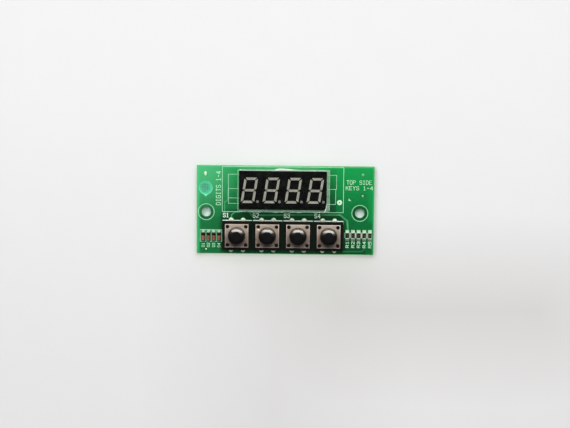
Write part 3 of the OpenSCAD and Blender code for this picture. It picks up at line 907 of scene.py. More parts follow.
@dataclass(frozen=True)
class LegendInk(Finish):
    """Printed legend ink: slightly uneven, thin at its edges and dusty."""

    def sockets(self, tree: Tree) -> Sockets:
        """Gives the tone and its screen-printed texture."""
        patchy, thin = tree.spots(3.0, 0.3, 0.7) * 0.4, tree.spots(0.22, 0.5, 0.75) * 0.35
        return {
            "Base Color": tree.layers(self.colour, (patchy, self.shade), (thin, self.shade)),
            "Normal": tree.relief(tree.grain(0.15, 3), 0.012),
        }


@dataclass(frozen=True)
class LightPipe(Finish):
    """Milky resin of the light bars, faintly ribbed, and duller in the decimal points."""

    point: Colour = paint(104, 104, 104)
    point_x: Point = (2.72, 2.8)
    point_y: Point = (4.75, 4.85)
    rib_pitch: float = 0.7
    dust: Colour = paint(112, 108, 92)

    def sockets(self, tree: Tree) -> Sockets:
        """Gives the tone, its cloudiness and a waxy surface.

        Args:
            tree: The material's nodes.

        Returns:
            What goes into the shader's sockets.
        """
        x, y, _ = tree.xyz()
        ribs = tree.math("SINE", (x + y) * (math.tau / self.rib_pitch)).step(-1.0, 1.0, 0.0, 0.4)
        beside = tree.repeat(x, DIGIT_X, DIGIT_PITCH)
        points = beside.step(*self.point_x) * y.step(*self.point_y, 1.0, 0.0)
        tone = tree.layers(
            self.colour,
            (tree.spots(0.5, 0.35, 0.68), self.shade),
            (ribs, self.shade),
            (points, self.point),
            (tree.spots(0.2, 0.52, 0.7) * 0.5, self.dust),
        )
        return {
            "Base Color": tone,
            "Subsurface Weight": 0.2,
            "Subsurface Radius": (0.8 * MM, 0.7 * MM, 0.6 * MM),
            "Subsurface Scale": 0.4,
            "Normal": tree.relief(tree.grain(0.4, 2), 0.015),
        }


@dataclass(frozen=True)
class ClearFilm(Finish):
    """Protective film: clear on the face it lies on, milky where it stands out past it, partly from its own
    haze and partly as painted light caught by its lifted edges, with painted highlights where its top edge
    bulges and its corner curls.
    """

    centre: Point = (-0.68, 8.4)
    inner: Point = (18.7, 8.53)
    face_centre: Point = (-1.0, 8.6)
    face_half: Point = (18.0, 8.0)
    # Colour of the painted highlights on the film.
    bright: Colour = paint(250, 253, 249)
    curl_x: float = 17.05
    curl_y: float = 3.4
    curl_bend: float = 0.07
    bulge_y: Point = (16.7, 16.95)
    bulge_from: Point = (-5.4, -3.4)
    bulge_to: Point = (1.0, 6.5)

    def sockets(self, tree: Tree) -> Sockets:
        """Gives the tone, gloss and cover of the film.

        Args:
            tree: The material's nodes.

        Returns:
            What goes into the shader's sockets.
        """
        x, y, _ = tree.xyz()
        streak = tree.grain(1.4, 2, (3, 1, 1))
        # The milky lip: partly the film's own haze, partly painted light, stronger along the lifted top edge,
        # with painted glints along the right edge, and weaker at the bottom and left.
        milky = streak.step(*NOISE, 0.18, 0.32) + y.step(16.0, 17.0, 0.0, 0.12)
        lip = (1.0 - tree.zone(self.centre, self.inner, 0.5, 0.3)) * 0.2
        lip = lip + milky * x.step(-19.2, -18.6, 0.45, 1.0)
        lip = lip + tree.spots(0.9, 0.5, 0.7) * x.step(16.0, 17.5) * 0.05
        lip = lip * y.step(0.3, 1.2, 0.72, 1.0)
        # Painted highlights where the top edge bulges and where the lower right corner curls.
        bulge = y.step(*self.bulge_y) * x.step(*self.bulge_from) * x.step(*self.bulge_to, 1.0, 0.0)
        under = self.curl_y - y
        curl = abs(under * under * self.curl_bend + x - self.curl_x).step(0.06, 0.3, 0.6, 0.0)
        bright = tree.most(bulge * 0.9, curl * y.step(2.0, 4.4, 1.0, 0.0))
        over_face = tree.zone(self.face_centre, self.face_half, 0.5, 0.25)
        clear = tree.spots(2.6, 0.35, 0.8).step(0.0, 1.0, 0.001, 0.006)
        cover = tree.add("ShaderNodeMix", {0: over_face, 2: lip, 3: clear}, data_type="FLOAT")
        return {
            "Base Color": tree.layers(self.colour, (streak, self.shade), (bright, self.bright)),
            "Roughness": streak.step(*NOISE, self.roughness, self.roughness * 1.6),
            "Alpha": tree.most(bright, cover),
            "Normal": tree.relief(tree.grain(3.0, 1), 0.07),
            "IOR": 1.49,
        }


@dataclass(frozen=True)
class DiodeGlass(Finish):
    """Glass tube with a warm tint, partly clouded, and dark next to its band."""

    dark: Colour = paint(52, 26, 20)
    dark_y: Point = (-10.9, -10.55)

    def sockets(self, tree: Tree) -> Sockets:
        """Gives the tint, gloss and draw lines.

        Args:
            tree: The material's nodes.

        Returns:
            What goes into the shader's sockets.
        """
        lines = tree.grain(0.3, 2, (1, 6, 1))
        dark = tree.xyz()[1].step(*self.dark_y)
        tone = tree.layers(self.colour, (lines.step(*NOISE), self.shade), (dark, self.dark))
        return {
            "Base Color": tone,
            "Roughness": lines.step(*NOISE, self.roughness, self.roughness + 0.06),
            "Transmission Weight": 0.45,
            "IOR": 1.5,
            "Normal": tree.relief(lines, 0.004),
        }


@dataclass(frozen=True)
class StickerPaper(Finish):
    """Round inspection sticker with a paler rim and faint plain bars."""

    centre: Point = (-33.2, 9.05)
    flat: float = 2.55
    tail_y: Point = (5.6, 11.0)
    stamp: ZoneLayer = ((-33.5, 9.5), (1.95, 1.95), 1.95, 1.5, 0.7, paint(28, 150, 108))
    ink: Colour = paint(20, 112, 88)
    bars: tuple[tuple[Point, Point], ...] = (
        ((-33.4, 10.3), (1.5, 0.17)), ((-33.5, 9.4), (1.8, 0.15)), ((-33.3, 8.5), (1.6, 0.15)),
        ((-33.6, 7.6), (1.2, 0.15)), ((-34.4, 9.1), (0.13, 1.3)), ((-33.5, 9.1), (0.13, 1.7)),
        ((-32.6, 9.1), (0.13, 1.2)),
    )

    def sockets(self, tree: Tree) -> Sockets:
        """Gives the tone of the print and the paper's texture.

        Args:
            tree: The material's nodes.

        Returns:
            What goes into the shader's sockets.
        """
        bars = tree.most(*(tree.zone(centre, half, 0.1, 0.15) for centre, half in self.bars))
        tone = tree.layers(
            self.shade,
            (tree.xyz()[1].step(*self.tail_y), self.colour),
            tree.zone_layer(self.centre, (self.flat,) * 2, self.flat, 0.3, 1.0, self.colour),
            tree.zone_layer(*self.stamp),
            (bars * 0.6, self.ink),
            (tree.spots(0.6, 0.4, 0.7) * 0.2, self.shade),
        )
        return {"Base Color": tone, "Normal": tree.relief(tree.grain(0.3, 4), 0.02)}


class Look:
    """The finishes of this board, one for each stuff that it is made of."""

    BOARD = MaskedLaminate("green_mask_on_laminate", paint(8, 86, 44), paint(5, 72, 36), 0.21)
    TRACK = MaskedTrack("green_mask_on_track", paint(70, 166, 106), paint(48, 144, 84), 0.24)
    INK = LegendInk("legend_ink", paint(172, 234, 196), paint(100, 184, 134), 0.6)
    LETTER = LegendInk("legend_letter_ink", paint(190, 240, 200), paint(140, 212, 160), 0.6)
    BOLD = LegendInk("legend_bold_ink", paint(236, 255, 242), paint(214, 250, 224), 0.5)
    MARK = LegendInk("legend_mark_ink", paint(206, 248, 212), paint(170, 226, 184), 0.55)
    FAINT = LegendInk("legend_faint_ink", paint(150, 232, 176), paint(108, 198, 138), 0.6)
    PAD = Solder("tinned_pad", paint(158, 200, 164), paint(124, 168, 130), 0.5, 0.2, 0.25)
    DOT_SOLDER = Solder("test_dot_solder", paint(200, 250, 210), paint(172, 230, 186), 0.5, 0.15, dim=0.8)
    SOLDER = Solder("joint_solder", paint(214, 236, 212), paint(182, 206, 180), 0.5, 0.4, 0.35, 0.8)
    NEAR_SOLDER = Solder("near_joint_solder", paint(226, 244, 224), paint(190, 214, 188), 0.34, 0.7)
    CASE = Moulded(
        "display_case_plastic", paint(192, 198, 188), paint(184, 190, 179), 0.55, 0.15, 0.01, 3.0, 0.08)
    FACE = Moulded("display_face_ink", paint(2, 2, 3), paint(8, 7, 7), 0.3, 0.3, 0.004, 0.8, 0.006, index=1.15)
    CARD = Moulded("display_card", paint(198, 196, 150), paint(170, 168, 120), 0.7, 0.2)
    DIE = Moulded("led_die", paint(225, 205, 110), paint(190, 165, 80), 0.35, 0.1, 0.004)
    PIPE = LightPipe("milky_light_bar", paint(166, 164, 152), paint(132, 130, 118), 0.42)
    PIN = Metal("display_pin_wire", paint(212, 214, 212), paint(150, 152, 150), 0.28, (1, 1, 10))
    FILM = ClearFilm("protective_film", paint(190, 226, 200), paint(160, 204, 172), 0.12)
    SWITCH = Moulded(
        "switch_base_plastic", paint(4, 4, 4), paint(11, 10, 10), 0.45, 0.12, 0.008, 1.4, 0.015, index=1.18)
    PLUNGER = ButtonPlastic(
        "plunger_plastic", paint(4, 4, 6), paint(8, 8, 10), 0.24, 0.3, 0.003, 1.8, 0.005, 1.0, 1.18)
    COVER = CoverSheet("cover_sheet", paint(194, 178, 166), paint(142, 126, 116), 0.4)
    DOME = Metal("dome_spring_sheet", paint(224, 224, 222), paint(180, 180, 178), 0.2)
    CONTACT = Metal("switch_contact", paint(216, 208, 190), paint(160, 150, 128), 0.3, (1, 1, 8))
    CERAMIC = Moulded("resistor_alumina", paint(226, 222, 212), paint(204, 198, 186), 0.5, 0.1, 0.008)
    GLAZE = Overglaze(
        "resistor_overglaze", paint(16, 18, 14), paint(28, 28, 22), 0.4, 0.25, 0.008, 0.9, 0.02, index=1.25)
    END_CAP = Solder("chip_end_tin", paint(186, 222, 190), paint(156, 196, 160), 0.5, 0.3, 0.3)
    DIODE_END = Solder("diode_end_tin", paint(150, 160, 146), paint(104, 118, 102), 0.3, 0.8, 0.4)
    CHIP_SOLDER = Solder("chip_solder", paint(170, 210, 174), paint(138, 180, 142), 0.6, 0.12, 0.25)
    GLASS = DiodeGlass("diode_glass_tube", paint(196, 132, 108), paint(160, 98, 80), 0.08)
    BAND = Moulded("diode_band_paint", paint(7, 4, 4), paint(16, 9, 9), 0.3, 0.15, 0.004, dust=0.02, index=1.3)
    SLUG = Metal("diode_copper_slug", paint(194, 120, 92), paint(136, 78, 58), 0.4, (1, 8, 1))
    STICKER = StickerPaper("inspection_paper", paint(34, 194, 139), paint(104, 232, 180), 0.45)
    CONNECTOR = Moulded("ribbon_connector_plastic", paint(236, 230, 212), paint(222, 214, 192))
    LOCK_BAR = Moulded("lock_bar_moulding", paint(84, 56, 40), paint(66, 42, 30), 0.45)
    RIBBON_CONTACT = Metal("ribbon_contact", paint(226, 200, 140), paint(180, 148, 90), 0.26, (1, 8, 1))
    ANCHOR = Metal("anchor_sheet", paint(210, 212, 208), paint(160, 162, 158), 0.3)


# ------------------------------------------------------------------ stage


@dataclass(frozen=True)
class Softbox:
    """One soft lamp."""

    name: str
    place: Triple
    size: Point
    power: float
    diffuse: bool = True
    glossy: bool = True
    tint: Colour = (1.0, 1.0, 1.0)


@dataclass
class Studio:
    """Floor, lamps, surroundings and camera, in metres, and the tones of the floor with its painted light and
    shade, in millimetres.
    """

    eye: Triple = (0.00709, 0.03574, 0.4523)
    tilt: Triple = (4.76, -0.92, -0.62)
    lens: float = 68.25
    sensor: float = 36.0
    clip: Point = (0.01, 20.0)
    floor_size: float = 4.0
    far: Point = (130.0, 520.0)
    backdrop: float = 0.86
    sides: float = 0.3
    zenith: float = 0.07
    lamps: tuple[Softbox, ...] = (
        Softbox("overhead_panel", (-0.08, 0.56, 1.32), (1.2, 1.0), 19.6, glossy=False),
        Softbox("highlight_card", (0.02, 0.3, 0.62), (0.76, 0.2), 8.6, diffuse=False, tint=(1.0, 0.97, 0.9)),
    )
    # The floor's tone, the painted shade that darkens it towards the bottom, and the tone of its specks.
    tones: tuple[Colour, ...] = (paint(235, 235, 236), paint(230, 229, 229), paint(190, 190, 190))
    # Colours of the painted glow in front of the board: left, right, and close to its edge.
    painted_glow: tuple[Colour, ...] = (paint(229, 230, 225), paint(217, 219, 211), paint(203, 222, 202))
    # Painted light and shade on the floor, as (centre, half sides, corner, fade, share, colour): painted shade
    # at the lower right and below the board, a pale strip that weakens the board's shadow at its front edge,
    # painted green light under the board, and painted light under its screw holes.
    painted_light_and_shade: tuple[ZoneLayer, ...] = (
        ((66.0, -42.0), (46.0, 6.0), 6.0, 70.0, 0.8, paint(190, 189, 184)),
        ((-4.0, -74.0), (14.0, 40.0), 14.0, 90.0, 0.55, paint(204, 203, 202)),
        ((8.0, -31.0), (22.0, 6.0), 6.0, 24.0, 0.34, paint(196, 197, 186)),
        ((0.0, -19.4), (37.0, 0.8), 0.8, 3.0, 1.0, paint(252, 252, 248)),
        ((0.1, -0.1), (36.6, 18.1), 1.5, 3.0, 1.0, paint(222, 248, 230)),
        *(((x, y - 0.2), (3.0, 3.0), 3.0, 2.0, 1.0, paint(232, 255, 246)) for x, y in HOLES),
    )

    def build(self) -> None:
        """Sets up the whole stage."""
        self.camera()
        self.floor()
        self.surroundings()
        for lamp in self.lamps:
            self.lamp(lamp)
        bpy.context.scene.view_settings.view_transform = "Standard"
        LOG.info("stage is set")

    def camera(self) -> None:
        """Places the camera above the board."""
        data = bpy.data.cameras.new("camera")
        data.lens, data.sensor_width = self.lens, self.sensor
        data.clip_start, data.clip_end = self.clip
        turns = [Matrix.Rotation(math.radians(angle), 3, axis) for angle, axis in zip(self.tilt, "XYZ")]
        obj = add_object("camera", data)
        to_world = (turns[2] @ turns[1] @ turns[0]).transposed().to_4x4()
        obj.matrix_world = Matrix.Translation(self.eye) @ to_world
        bpy.context.scene.camera = obj

    def floor(self) -> None:
        """Lays the pale floor that the pin tips stand on."""
        bm = bmesh.new()
        bmesh.ops.create_grid(bm, x_segments=8, y_segments=8, size=self.floor_size / 2)
        mesh = bpy.data.meshes.new("floor")
        bm.to_mesh(mesh)
        bm.free()
        mesh.materials.append(self.floor_material())
        add_object("floor", mesh)

    def floor_material(self) -> bpy.types.Material:
        """Gives the floor's pale, faintly uneven finish, with painted light and shade in its tone.

        To the camera it has a painted glow in front of the board, which weakens the board's shadow there,
        and far away it turns into the backdrop. It is clear from beneath.

        Returns:
            The material.
        """
        material = bpy.data.materials.new("pale_floor")
        tree = Tree.of(material)
        x, y, _ = tree.xyz()
        near, behind, specks = self.tones
        tone = tree.layers(
            near,
            # Painted shade towards the bottom.
            (y.step(60.0, -80.0), behind),
            # Patches of painted light and shade.
            *(tree.zone_layer(*zone_layer) for zone_layer in self.painted_light_and_shade),
            (tree.spots(14.0, *NOISE) * 0.02, specks),
        )
        normal = tree.relief(tree.grain(0.5, 3), 0.01)
        inputs = {"Base Color": tone, "Roughness": 0.8, "Normal": normal}
        matt = tree.add("ShaderNodeBsdfPrincipled", inputs)
        shown = self.shown_rays(tree)
        away = tree.add("ShaderNodeEmission", {"Color": WHITE, "Strength": self.backdrop})
        surface = self.mix(tree, tree.length(x, y).step(*self.far) * shown, matt, away)
        left, right, close = self.painted_glow
        beside = abs(x)
        warm = tree.layers(
            left,
            (x.step(-37.0, -12.0), right),
            (y.step(-19.9, -18.9) * beside.step(36.6, 34.0), close),
        )
        # Painted glow in front of the board, which weakens its shadow there, stronger towards the left.
        front = y.step(-18.3, -18.8) * y.step(-27.0, -20.0) * beside.step(38.2, 33.5)
        painted_light_pool = tree.add("ShaderNodeEmission", {"Color": warm})
        surface = self.mix(tree, front * x.step(0.0, 37.0, 0.7, 0.5) * shown, surface, painted_light_pool)
        beneath = tree.add("ShaderNodeNewGeometry", output="Backfacing")
        surface = self.mix(tree, beneath, surface, tree.add("ShaderNodeBsdfTransparent"))
        tree.node("ShaderNodeOutputMaterial", {"Surface": surface})
        return material

    def mix(self, tree: Tree, share: Wire, first: Wire, second: Wire) -> Wire:
        """Gives the first shader where the share is 0 and the second where it is 1."""
        return tree.add("ShaderNodeMixShader", {0: share, 1: first, 2: second})

    def shown_rays(self, tree: Tree) -> Wire:
        """Gives 1 for rays that show the backdrop, straight on or in metal or glass, and 0 for the rest."""
        rays = ("Is Camera Ray", "Is Glossy Ray", "Is Transmission Ray")
        return tree.most(*(tree.add("ShaderNodeLightPath", output=ray) for ray in rays))

    def surroundings(self) -> None:
        """Gives soft surroundings: pale behind the object, and dim overhead where its gloss shows them."""
        world = bpy.data.worlds.new("studio")
        tree = Tree.of(world)
        up = tree.xyz(tree.add("ShaderNodeTexCoord", output="Generated"))[2]
        seen = up.step(0.18, 0.42, self.backdrop, self.zenith)
        inputs = {0: self.shown_rays(tree), 2: self.sides, 3: seen}
        strength = tree.add("ShaderNodeMix", inputs, data_type="FLOAT")
        back = tree.add("ShaderNodeBackground", {"Color": WHITE, "Strength": strength})
        tree.node("ShaderNodeOutputWorld", {"Surface": back})
        bpy.context.scene.world = world

    def lamp(self, lamp: Softbox) -> None:
        """Hangs one soft lamp, turned towards the object.

        Args:
            lamp: Its place, size and power.
        """
        data = bpy.data.lights.new(lamp.name, "AREA")
        data.shape, data.energy, data.color = "RECTANGLE", lamp.power, lamp.tint
        data.size, data.size_y = lamp.size
        obj = add_object(lamp.name, data)
        obj.location = lamp.place
        obj.rotation_euler = (-obj.location).to_track_quat("-Z", "Y").to_euler()
        obj.visible_camera, obj.visible_diffuse, obj.visible_glossy = False, lamp.diffuse, lamp.glossy


# ------------------------------------------------------------------ board


LETTERS: dict[str, tuple[Stroke, ...]] = {
    "D": (((0, 0), (0, 6), (2.5, 6), (4, 4.5), (4, 1.5), (2.5, 0), (0, 0)),),
    "E": (((4, 6), (0, 6), (0, 0), (4, 0)), ((0, 3), (3, 3))),
    "G": (((4, 5), (3, 6), (1, 6), (0, 5), (0, 1), (1, 0), (3, 0), (4, 1), (4, 3), (2.4, 3)),),
    "I": (((2, 0), (2, 6)), ((1, 0), (3, 0)), ((1, 6), (3, 6))),
    "K": (((0, 0), (0, 6)), ((4, 6), (0, 2.5)), ((1.4, 3.7), (4, 0))),
    "O": (((1, 0), (0, 1), (0, 5), (1, 6), (3, 6), (4, 5), (4, 1), (3, 0), (1, 0)),),
    "P": (((0, 0), (0, 6), (3, 6), (4, 5), (4, 4), (3, 3), (0, 3)),),
    "R": (((0, 0), (0, 6), (3, 6), (4, 5), (4, 4), (3, 3), (0, 3)), ((2, 3), (4, 0))),
    "S": (((4, 5), (3, 6), (1, 6), (0, 5), (0, 4), (1, 3), (3, 3), (4, 2), (4, 1), (3, 0), (1, 0), (0, 1)),),
    "T": (((0, 6), (4, 6)), ((2, 6), (2, 0))),
    "Y": (((0, 6), (2, 3), (4, 6)), ((2, 3), (2, 0))),
    "1": (((0.8, 4.8), (2, 6), (2, 0)), ((0.8, 0), (3.2, 0))),
    "2": (((0, 5), (1, 6), (3, 6), (4, 5), (4, 4), (0, 0), (4, 0)),),
    "3": (
        ((0, 5), (1, 6), (3, 6), (4, 5), (4, 4), (3, 3), (4, 2), (4, 1), (3, 0), (1, 0), (0, 1)),
        ((1.6, 3), (3, 3)),
    ),
    "4": (((3, 0), (3, 6), (0, 2), (4, 2)),),
    "5": (((4, 6), (0, 6), (0, 3.5), (3, 3.5), (4, 2.5), (4, 1), (3, 0), (0, 0)),),
    "-": (((0.6, 3), (3.4, 3)),),
    " ": (),
}


@dataclass
class Switches:
    """The row of four push buttons."""

    first_x: float = SWITCH_X
    pitch: float = SWITCH_PITCH
    y: float = SWITCH_Y
    pin_x: float = 2.5
    pin_y: float = 6.25
    plunger_r: float = 3.4
    plunger_top: float = 11.1
    plunger_edge: float = 1.15
    plunger_slope: float = 0.365
    flange_r: float = 4.1
    flange_low: float = 6.43
    flange_high: float = 7.08
    flange_edge: float = 0.08
    nub_r: float = 1.2
    nub_low: float = 5.92
    nub_edge: float = 0.15
    spring_r: float = 4.1
    spring_low: float = 5.0
    spring_rise: float = 0.78
    spring_thick: float = 0.12
    travel: float = 0.3
    base_edge: float = 0.12
    cover_edge: float = 0.07

    def centres(self) -> list[Point]:
        """Gives the middle of each button."""
        return [(self.first_x + self.pitch * i, self.y) for i in range(4)]

    def pins(self, *rows: int) -> list[Point]:
        """Gives the place of each pin in the near row, -1, the far row, 1, or both."""
        return [(x + side * self.pin_x, y + row * self.pin_y)
                for x, y in self.centres() for side in (-1, 1) for row in rows]

    def build(self) -> None:
        """Builds and dresses all that belongs to the four buttons."""
        for number, (x, y) in enumerate(self.centres(), 1):
            part = f"switch_{number}_"
            round_off(
                (part + "base", self.base_edge, part + "moulding", Look.SWITCH, "switch_plastic"),
                (part + "cover", self.cover_edge, part + "cover_sheet", Look.COVER, "cover_steel"),
            )
            Form().stamp(self.plunger(), [(x, y)]).piece(
                part + "button", Look.PLUNGER, "button_plastic", [part + "plunger"], 50,
                Body[f"BUTTON_{number}"])
            spring = Form().stamp(self.spring(), [(x, y)]).piece(
                part + "spring", Look.DOME, "dome_steel", [part + "dome"])
            anchor = (x * MM, y * MM, self.spring_low * MM)
            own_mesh(spring)
            dress(Look.CONTACT, part + "contacts")

    def spring(self) -> Form:
        """Shapes one snap dome: a shallow cap of spring sheet that its plunger flattens.

        Returns:
            The form, round the Z axis.
        """
        big = (self.spring_r ** 2 + self.spring_rise ** 2) / (2 * self.spring_rise)
        middle = self.spring_low + self.spring_rise - big
        radii = [self.spring_r * step / 10 for step in range(11)]
        under = [(radius, middle + math.sqrt(big ** 2 - radius ** 2)) for radius in radii]
        over = [(radius, height + self.spring_thick) for radius, height in under]
        return Form.lathe(over + under[::-1], 48)

    def plunger(self) -> Form:
        """Shapes one plunger: a nub, a flange and a post with a wide round edge.

        Returns:
            The form, round the Z axis.
        """
        top, edge = self.plunger_top, self.plunger_edge
        nub, flange, post = self.nub_r, self.flange_r, self.plunger_r
        low, high = self.flange_low, self.flange_high
        shoulder, rise = top - self.plunger_slope, self.plunger_slope / (edge + 0.1)
        lip = post - 0.14
        return Form.lathe([
            (0, self.nub_low), (nub - self.nub_edge, self.nub_low), (nub, self.nub_low + self.nub_edge),
            (nub, low), (flange - self.flange_edge, low), (flange, low + self.flange_edge),
            (flange, high - self.flange_edge), (flange - self.flange_edge, high), (post, high),
            (post, shoulder - 0.4), (post - 0.01, shoulder - 0.16), (post - 0.05, shoulder - 0.06),
            *((lip - edge * share, shoulder + rise * edge * share) for share in (0, 0.33, 0.67, 1)),
            (lip - edge - 0.14, top - 0.01), (lip - edge - 0.4, top), (post * 0.2, top + 0.01),
            (0, top + 0.01),
        ], 64)


@dataclass
class Display:
    """The four-digit display under its protective film."""

    case_edge: float = 0.1
    film_low: Point = (-19.6, -0.35)
    film_high: Point = (18.25, 17.15)
    film_z: float = 11.32
    film_t: float = 0.05
    face_low: Point = (-19.0, 0.6)
    face_high: Point = (17.0, 16.6)
    lift_x: float = -1.6
    lift: float = 0.75
    bulge: float = 0.5
    ripple: float = 0.1
    corner_lift: float = 0.3
    pin_xs: tuple[float, ...] = tuple(round(-7.35 + 2.54 * i, 2) for i in range(6))
    pin_ys: Point = (2.25, 14.95)

    def pins(self) -> list[Point]:
        """Gives the place of each pin."""
        return [(x, y) for y in self.pin_ys for x in self.pin_xs]

    def build(self) -> None:
        """Builds and dresses the display."""
        round_off(("display_case", self.case_edge, "display_moulding", Look.CASE, "display_plastic"))
        dress(Look.FACE, "display_face")
        dress(Look.CARD, "display_substrate")
        dress(Look.DIE, "led_dies")
        dress(Look.PIPE, *(f"digit_{number}" for number in range(1, 5)))
        dress(Look.PIN, "display_pins")
        self.film()

    def film(self) -> None:
        """Lays the clear film, wavy where it stands out past the face and lifted at its top edge."""
        (x0, y0), (x1, y1) = self.film_low, self.film_high
        form = Form()
        middle = Matrix.Translation(((x0 + x1) / 2, (y0 + y1) / 2, self.film_z))
        size = Matrix.Diagonal(((x1 - x0) / 2, (y1 - y0) / 2, 1, 1))
        bmesh.ops.create_grid(form.bm, x_segments=120, y_segments=60, size=1, matrix=middle @ size)
        for vert in form.bm.verts:
            self.shape_film(vert.co)
        bmesh.ops.recalc_face_normals(form.bm, faces=form.bm.faces)
        obj = form.piece("display_film_sheet", Look.FILM, "clear_film", ["display_film"], 180)
        skin = obj.modifiers.new("thickness", "SOLIDIFY")
        skin.thickness, skin.offset = self.film_t * MM, 1.0

    def shape_film(self, point: Vector) -> None:
        """Moves one point of the film to where the loose sheet lies.

        Args:
            point: The point, changed in place.
        """
        (_, y0), (x1, y1) = self.film_low, self.film_high
        (fx0, fy0), (fx1, fy1) = self.face_low, self.face_high
        x, y = point.x, point.y
        past_face = max(fx0 - x, x - fx1, fy0 - y, y - fy1)
        loose = max(0.0, min(1.0, (past_face + 0.35) / 1.2))
        wave = math.sin(x * 0.9 + 0.6) * 0.5 + math.sin(x * 2.3 + y * 0.4) * 0.3 + math.sin(y * 1.7) * 0.3
        point.z += loose * (self.ripple * wave + 0.02)
        spread = 2.4 if x < self.lift_x else 4.4
        top = math.exp(-((x - self.lift_x) / spread) ** 2) * max(0.0, 1 - (y1 - y) / 1.6)
        point.z += self.lift * top * top
        out = math.exp(-((x - self.lift_x + 0.3) / spread) ** 2) * max(0.0, 1 - (y1 - y) / 1.2)
        point.y += self.bulge * out
        corner = math.exp(-((x - x1) ** 2 + (y - y0) ** 2) / 6.0)
        point.z += self.corner_lift * corner * loose
        share = max(0.0, 1 - (y - y0) / 1.5)
        point.y += share * (0.16 * math.sin(x * 0.75 + 1.0) + 0.1 * math.sin(x * 1.9))


@dataclass
class BareBoard:
    """The laminate with its mask, tracks and pads."""

    track_h: float = 0.035
    feed_w: float = 0.45
    bus_w: float = 0.3
    bus_y: float = 11.3
    bus_pitch: float = 0.62
    contact_y: float = 12.3
    contact_x: float = 13.5
    turn_ys: Point = (4.0, 2.0)
    feeds: tuple[tuple[int, float, float, float], ...] = ((-1, 25.5, 2.0, -1.0), (1, 26.5, 0.0, 1.6))
    pads: tuple[tuple[Point, float, float, float], ...] = (
        ((32.1, 15.05), 0.6, 0.3, 1.0), ((32.1, 6.2), 0.57, 0.3, 1.0), ((-33.35, 14.95), 0.6, 0.5, 1.7),
        ((-33.0, -16.6), 0.36, 0.15, 1.0),
    )
    runs: tuple[tuple[float, Stroke], ...] = (
        (0.75, ((-11.2, -2.2), (6.1, -1.85), (22.8, -1.75), (25.8, -4.2), (26.1, -7.7))),
        (0.4, ((24.25, -17.1), (32.0, -17.0), (32.9, -16.2))),
        (0.4, ((-24.1, 14.8), (-24.05, 4.1), (-25.35, 3.1), (-25.3, -0.7))),
        (0.5, ((-17.55, -0.7), (-21.0, -0.9), (-22.4, -2.2), (-22.6, -3.9))),
        (0.5, ((-17.55, -0.7), (-15.35, -0.8), (-11.7, -4.8))),
    )

    def build(self, switches: Switches, display: Display) -> None:
        """Dresses the laminate and lays its tracks.

        Args:
            switches: The buttons that the tracks lead to.
            display: The display that the tracks lead to.
        """
        dress(Look.BOARD, "circuit_board")
        dress(Look.PAD, "plated_holes", "surface_pads")
        self.test_pads()
        form = Form()
        for width, points in self.runs:
            form.stroke(points, width, self.track_h)
        form.piece("component_side_tracks", Look.TRACK, "laminate")
        self.solder_side(switches, display)

    def test_pads(self) -> None:
        """Builds the domed solder of the test pads, each given as (place, radius, height, length)."""
        form = Form()
        for place, radius, height, tall in self.pads:
            foot = TOP + 0.03
            turns = [math.radians(18 * step) for step in range(1, 5)]
            dome = Form.lathe([
                (0, TOP), (radius, TOP), (radius, foot),
                *((radius * math.cos(turn), foot + height * math.sin(turn)) for turn in turns),
                (0, foot + height),
            ], 24)
            bmesh.ops.scale(dome.bm, vec=(1, tall, 1), verts=dome.bm.verts)
            form.stamp(dome, [place])
        form.piece("test_pad_domes", Look.DOT_SOLDER, "tinned_copper", ["test_pads"], 60)

    def solder_side(self, switches: Switches, display: Display) -> None:
        """Lays the tracks from the ribbon connector to the display and the buttons.

        The feed of a row of button pins is given as its row, its start, how far it steps aside, and how
        far it passes the pins.

        Args:
            switches: The buttons.
            display: The display.
        """
        form = Form()
        ends = display.pins()[:5:-1] + display.pins()[:6]
        for index, (pin_x, pin_y) in enumerate(ends):
            x, level = self.contact_x + index, self.bus_y - self.bus_pitch * index
            reach = level + (0.5 if index < 6 else -0.5)
            points = (
                (x, self.contact_y), (x, level + 0.4), (x - 0.4, level), (pin_x + 0.5, level),
                (pin_x, reach), (pin_x, pin_y),
            )
            form.stroke(points, self.bus_w, self.track_h, Side.SOLDER)
        for row, x, aside, past in self.feeds:
            ends = switches.pins(row)
            level, down = ends[0][1] + past, x + aside
            points = (
                (x, self.contact_y), (x, self.turn_ys[0]), (down, self.turn_ys[1]), (down, level + 0.5),
                (down - 0.5, level), (ends[0][0] + 0.5, level),
            )
            form.stroke(points, self.feed_w, self.track_h, Side.SOLDER)
            for pin in ends:
                form.stroke((pin, (pin[0], level)), self.feed_w, self.track_h, Side.SOLDER)
        form.piece("solder_side_tracks", Look.TRACK, "laminate")


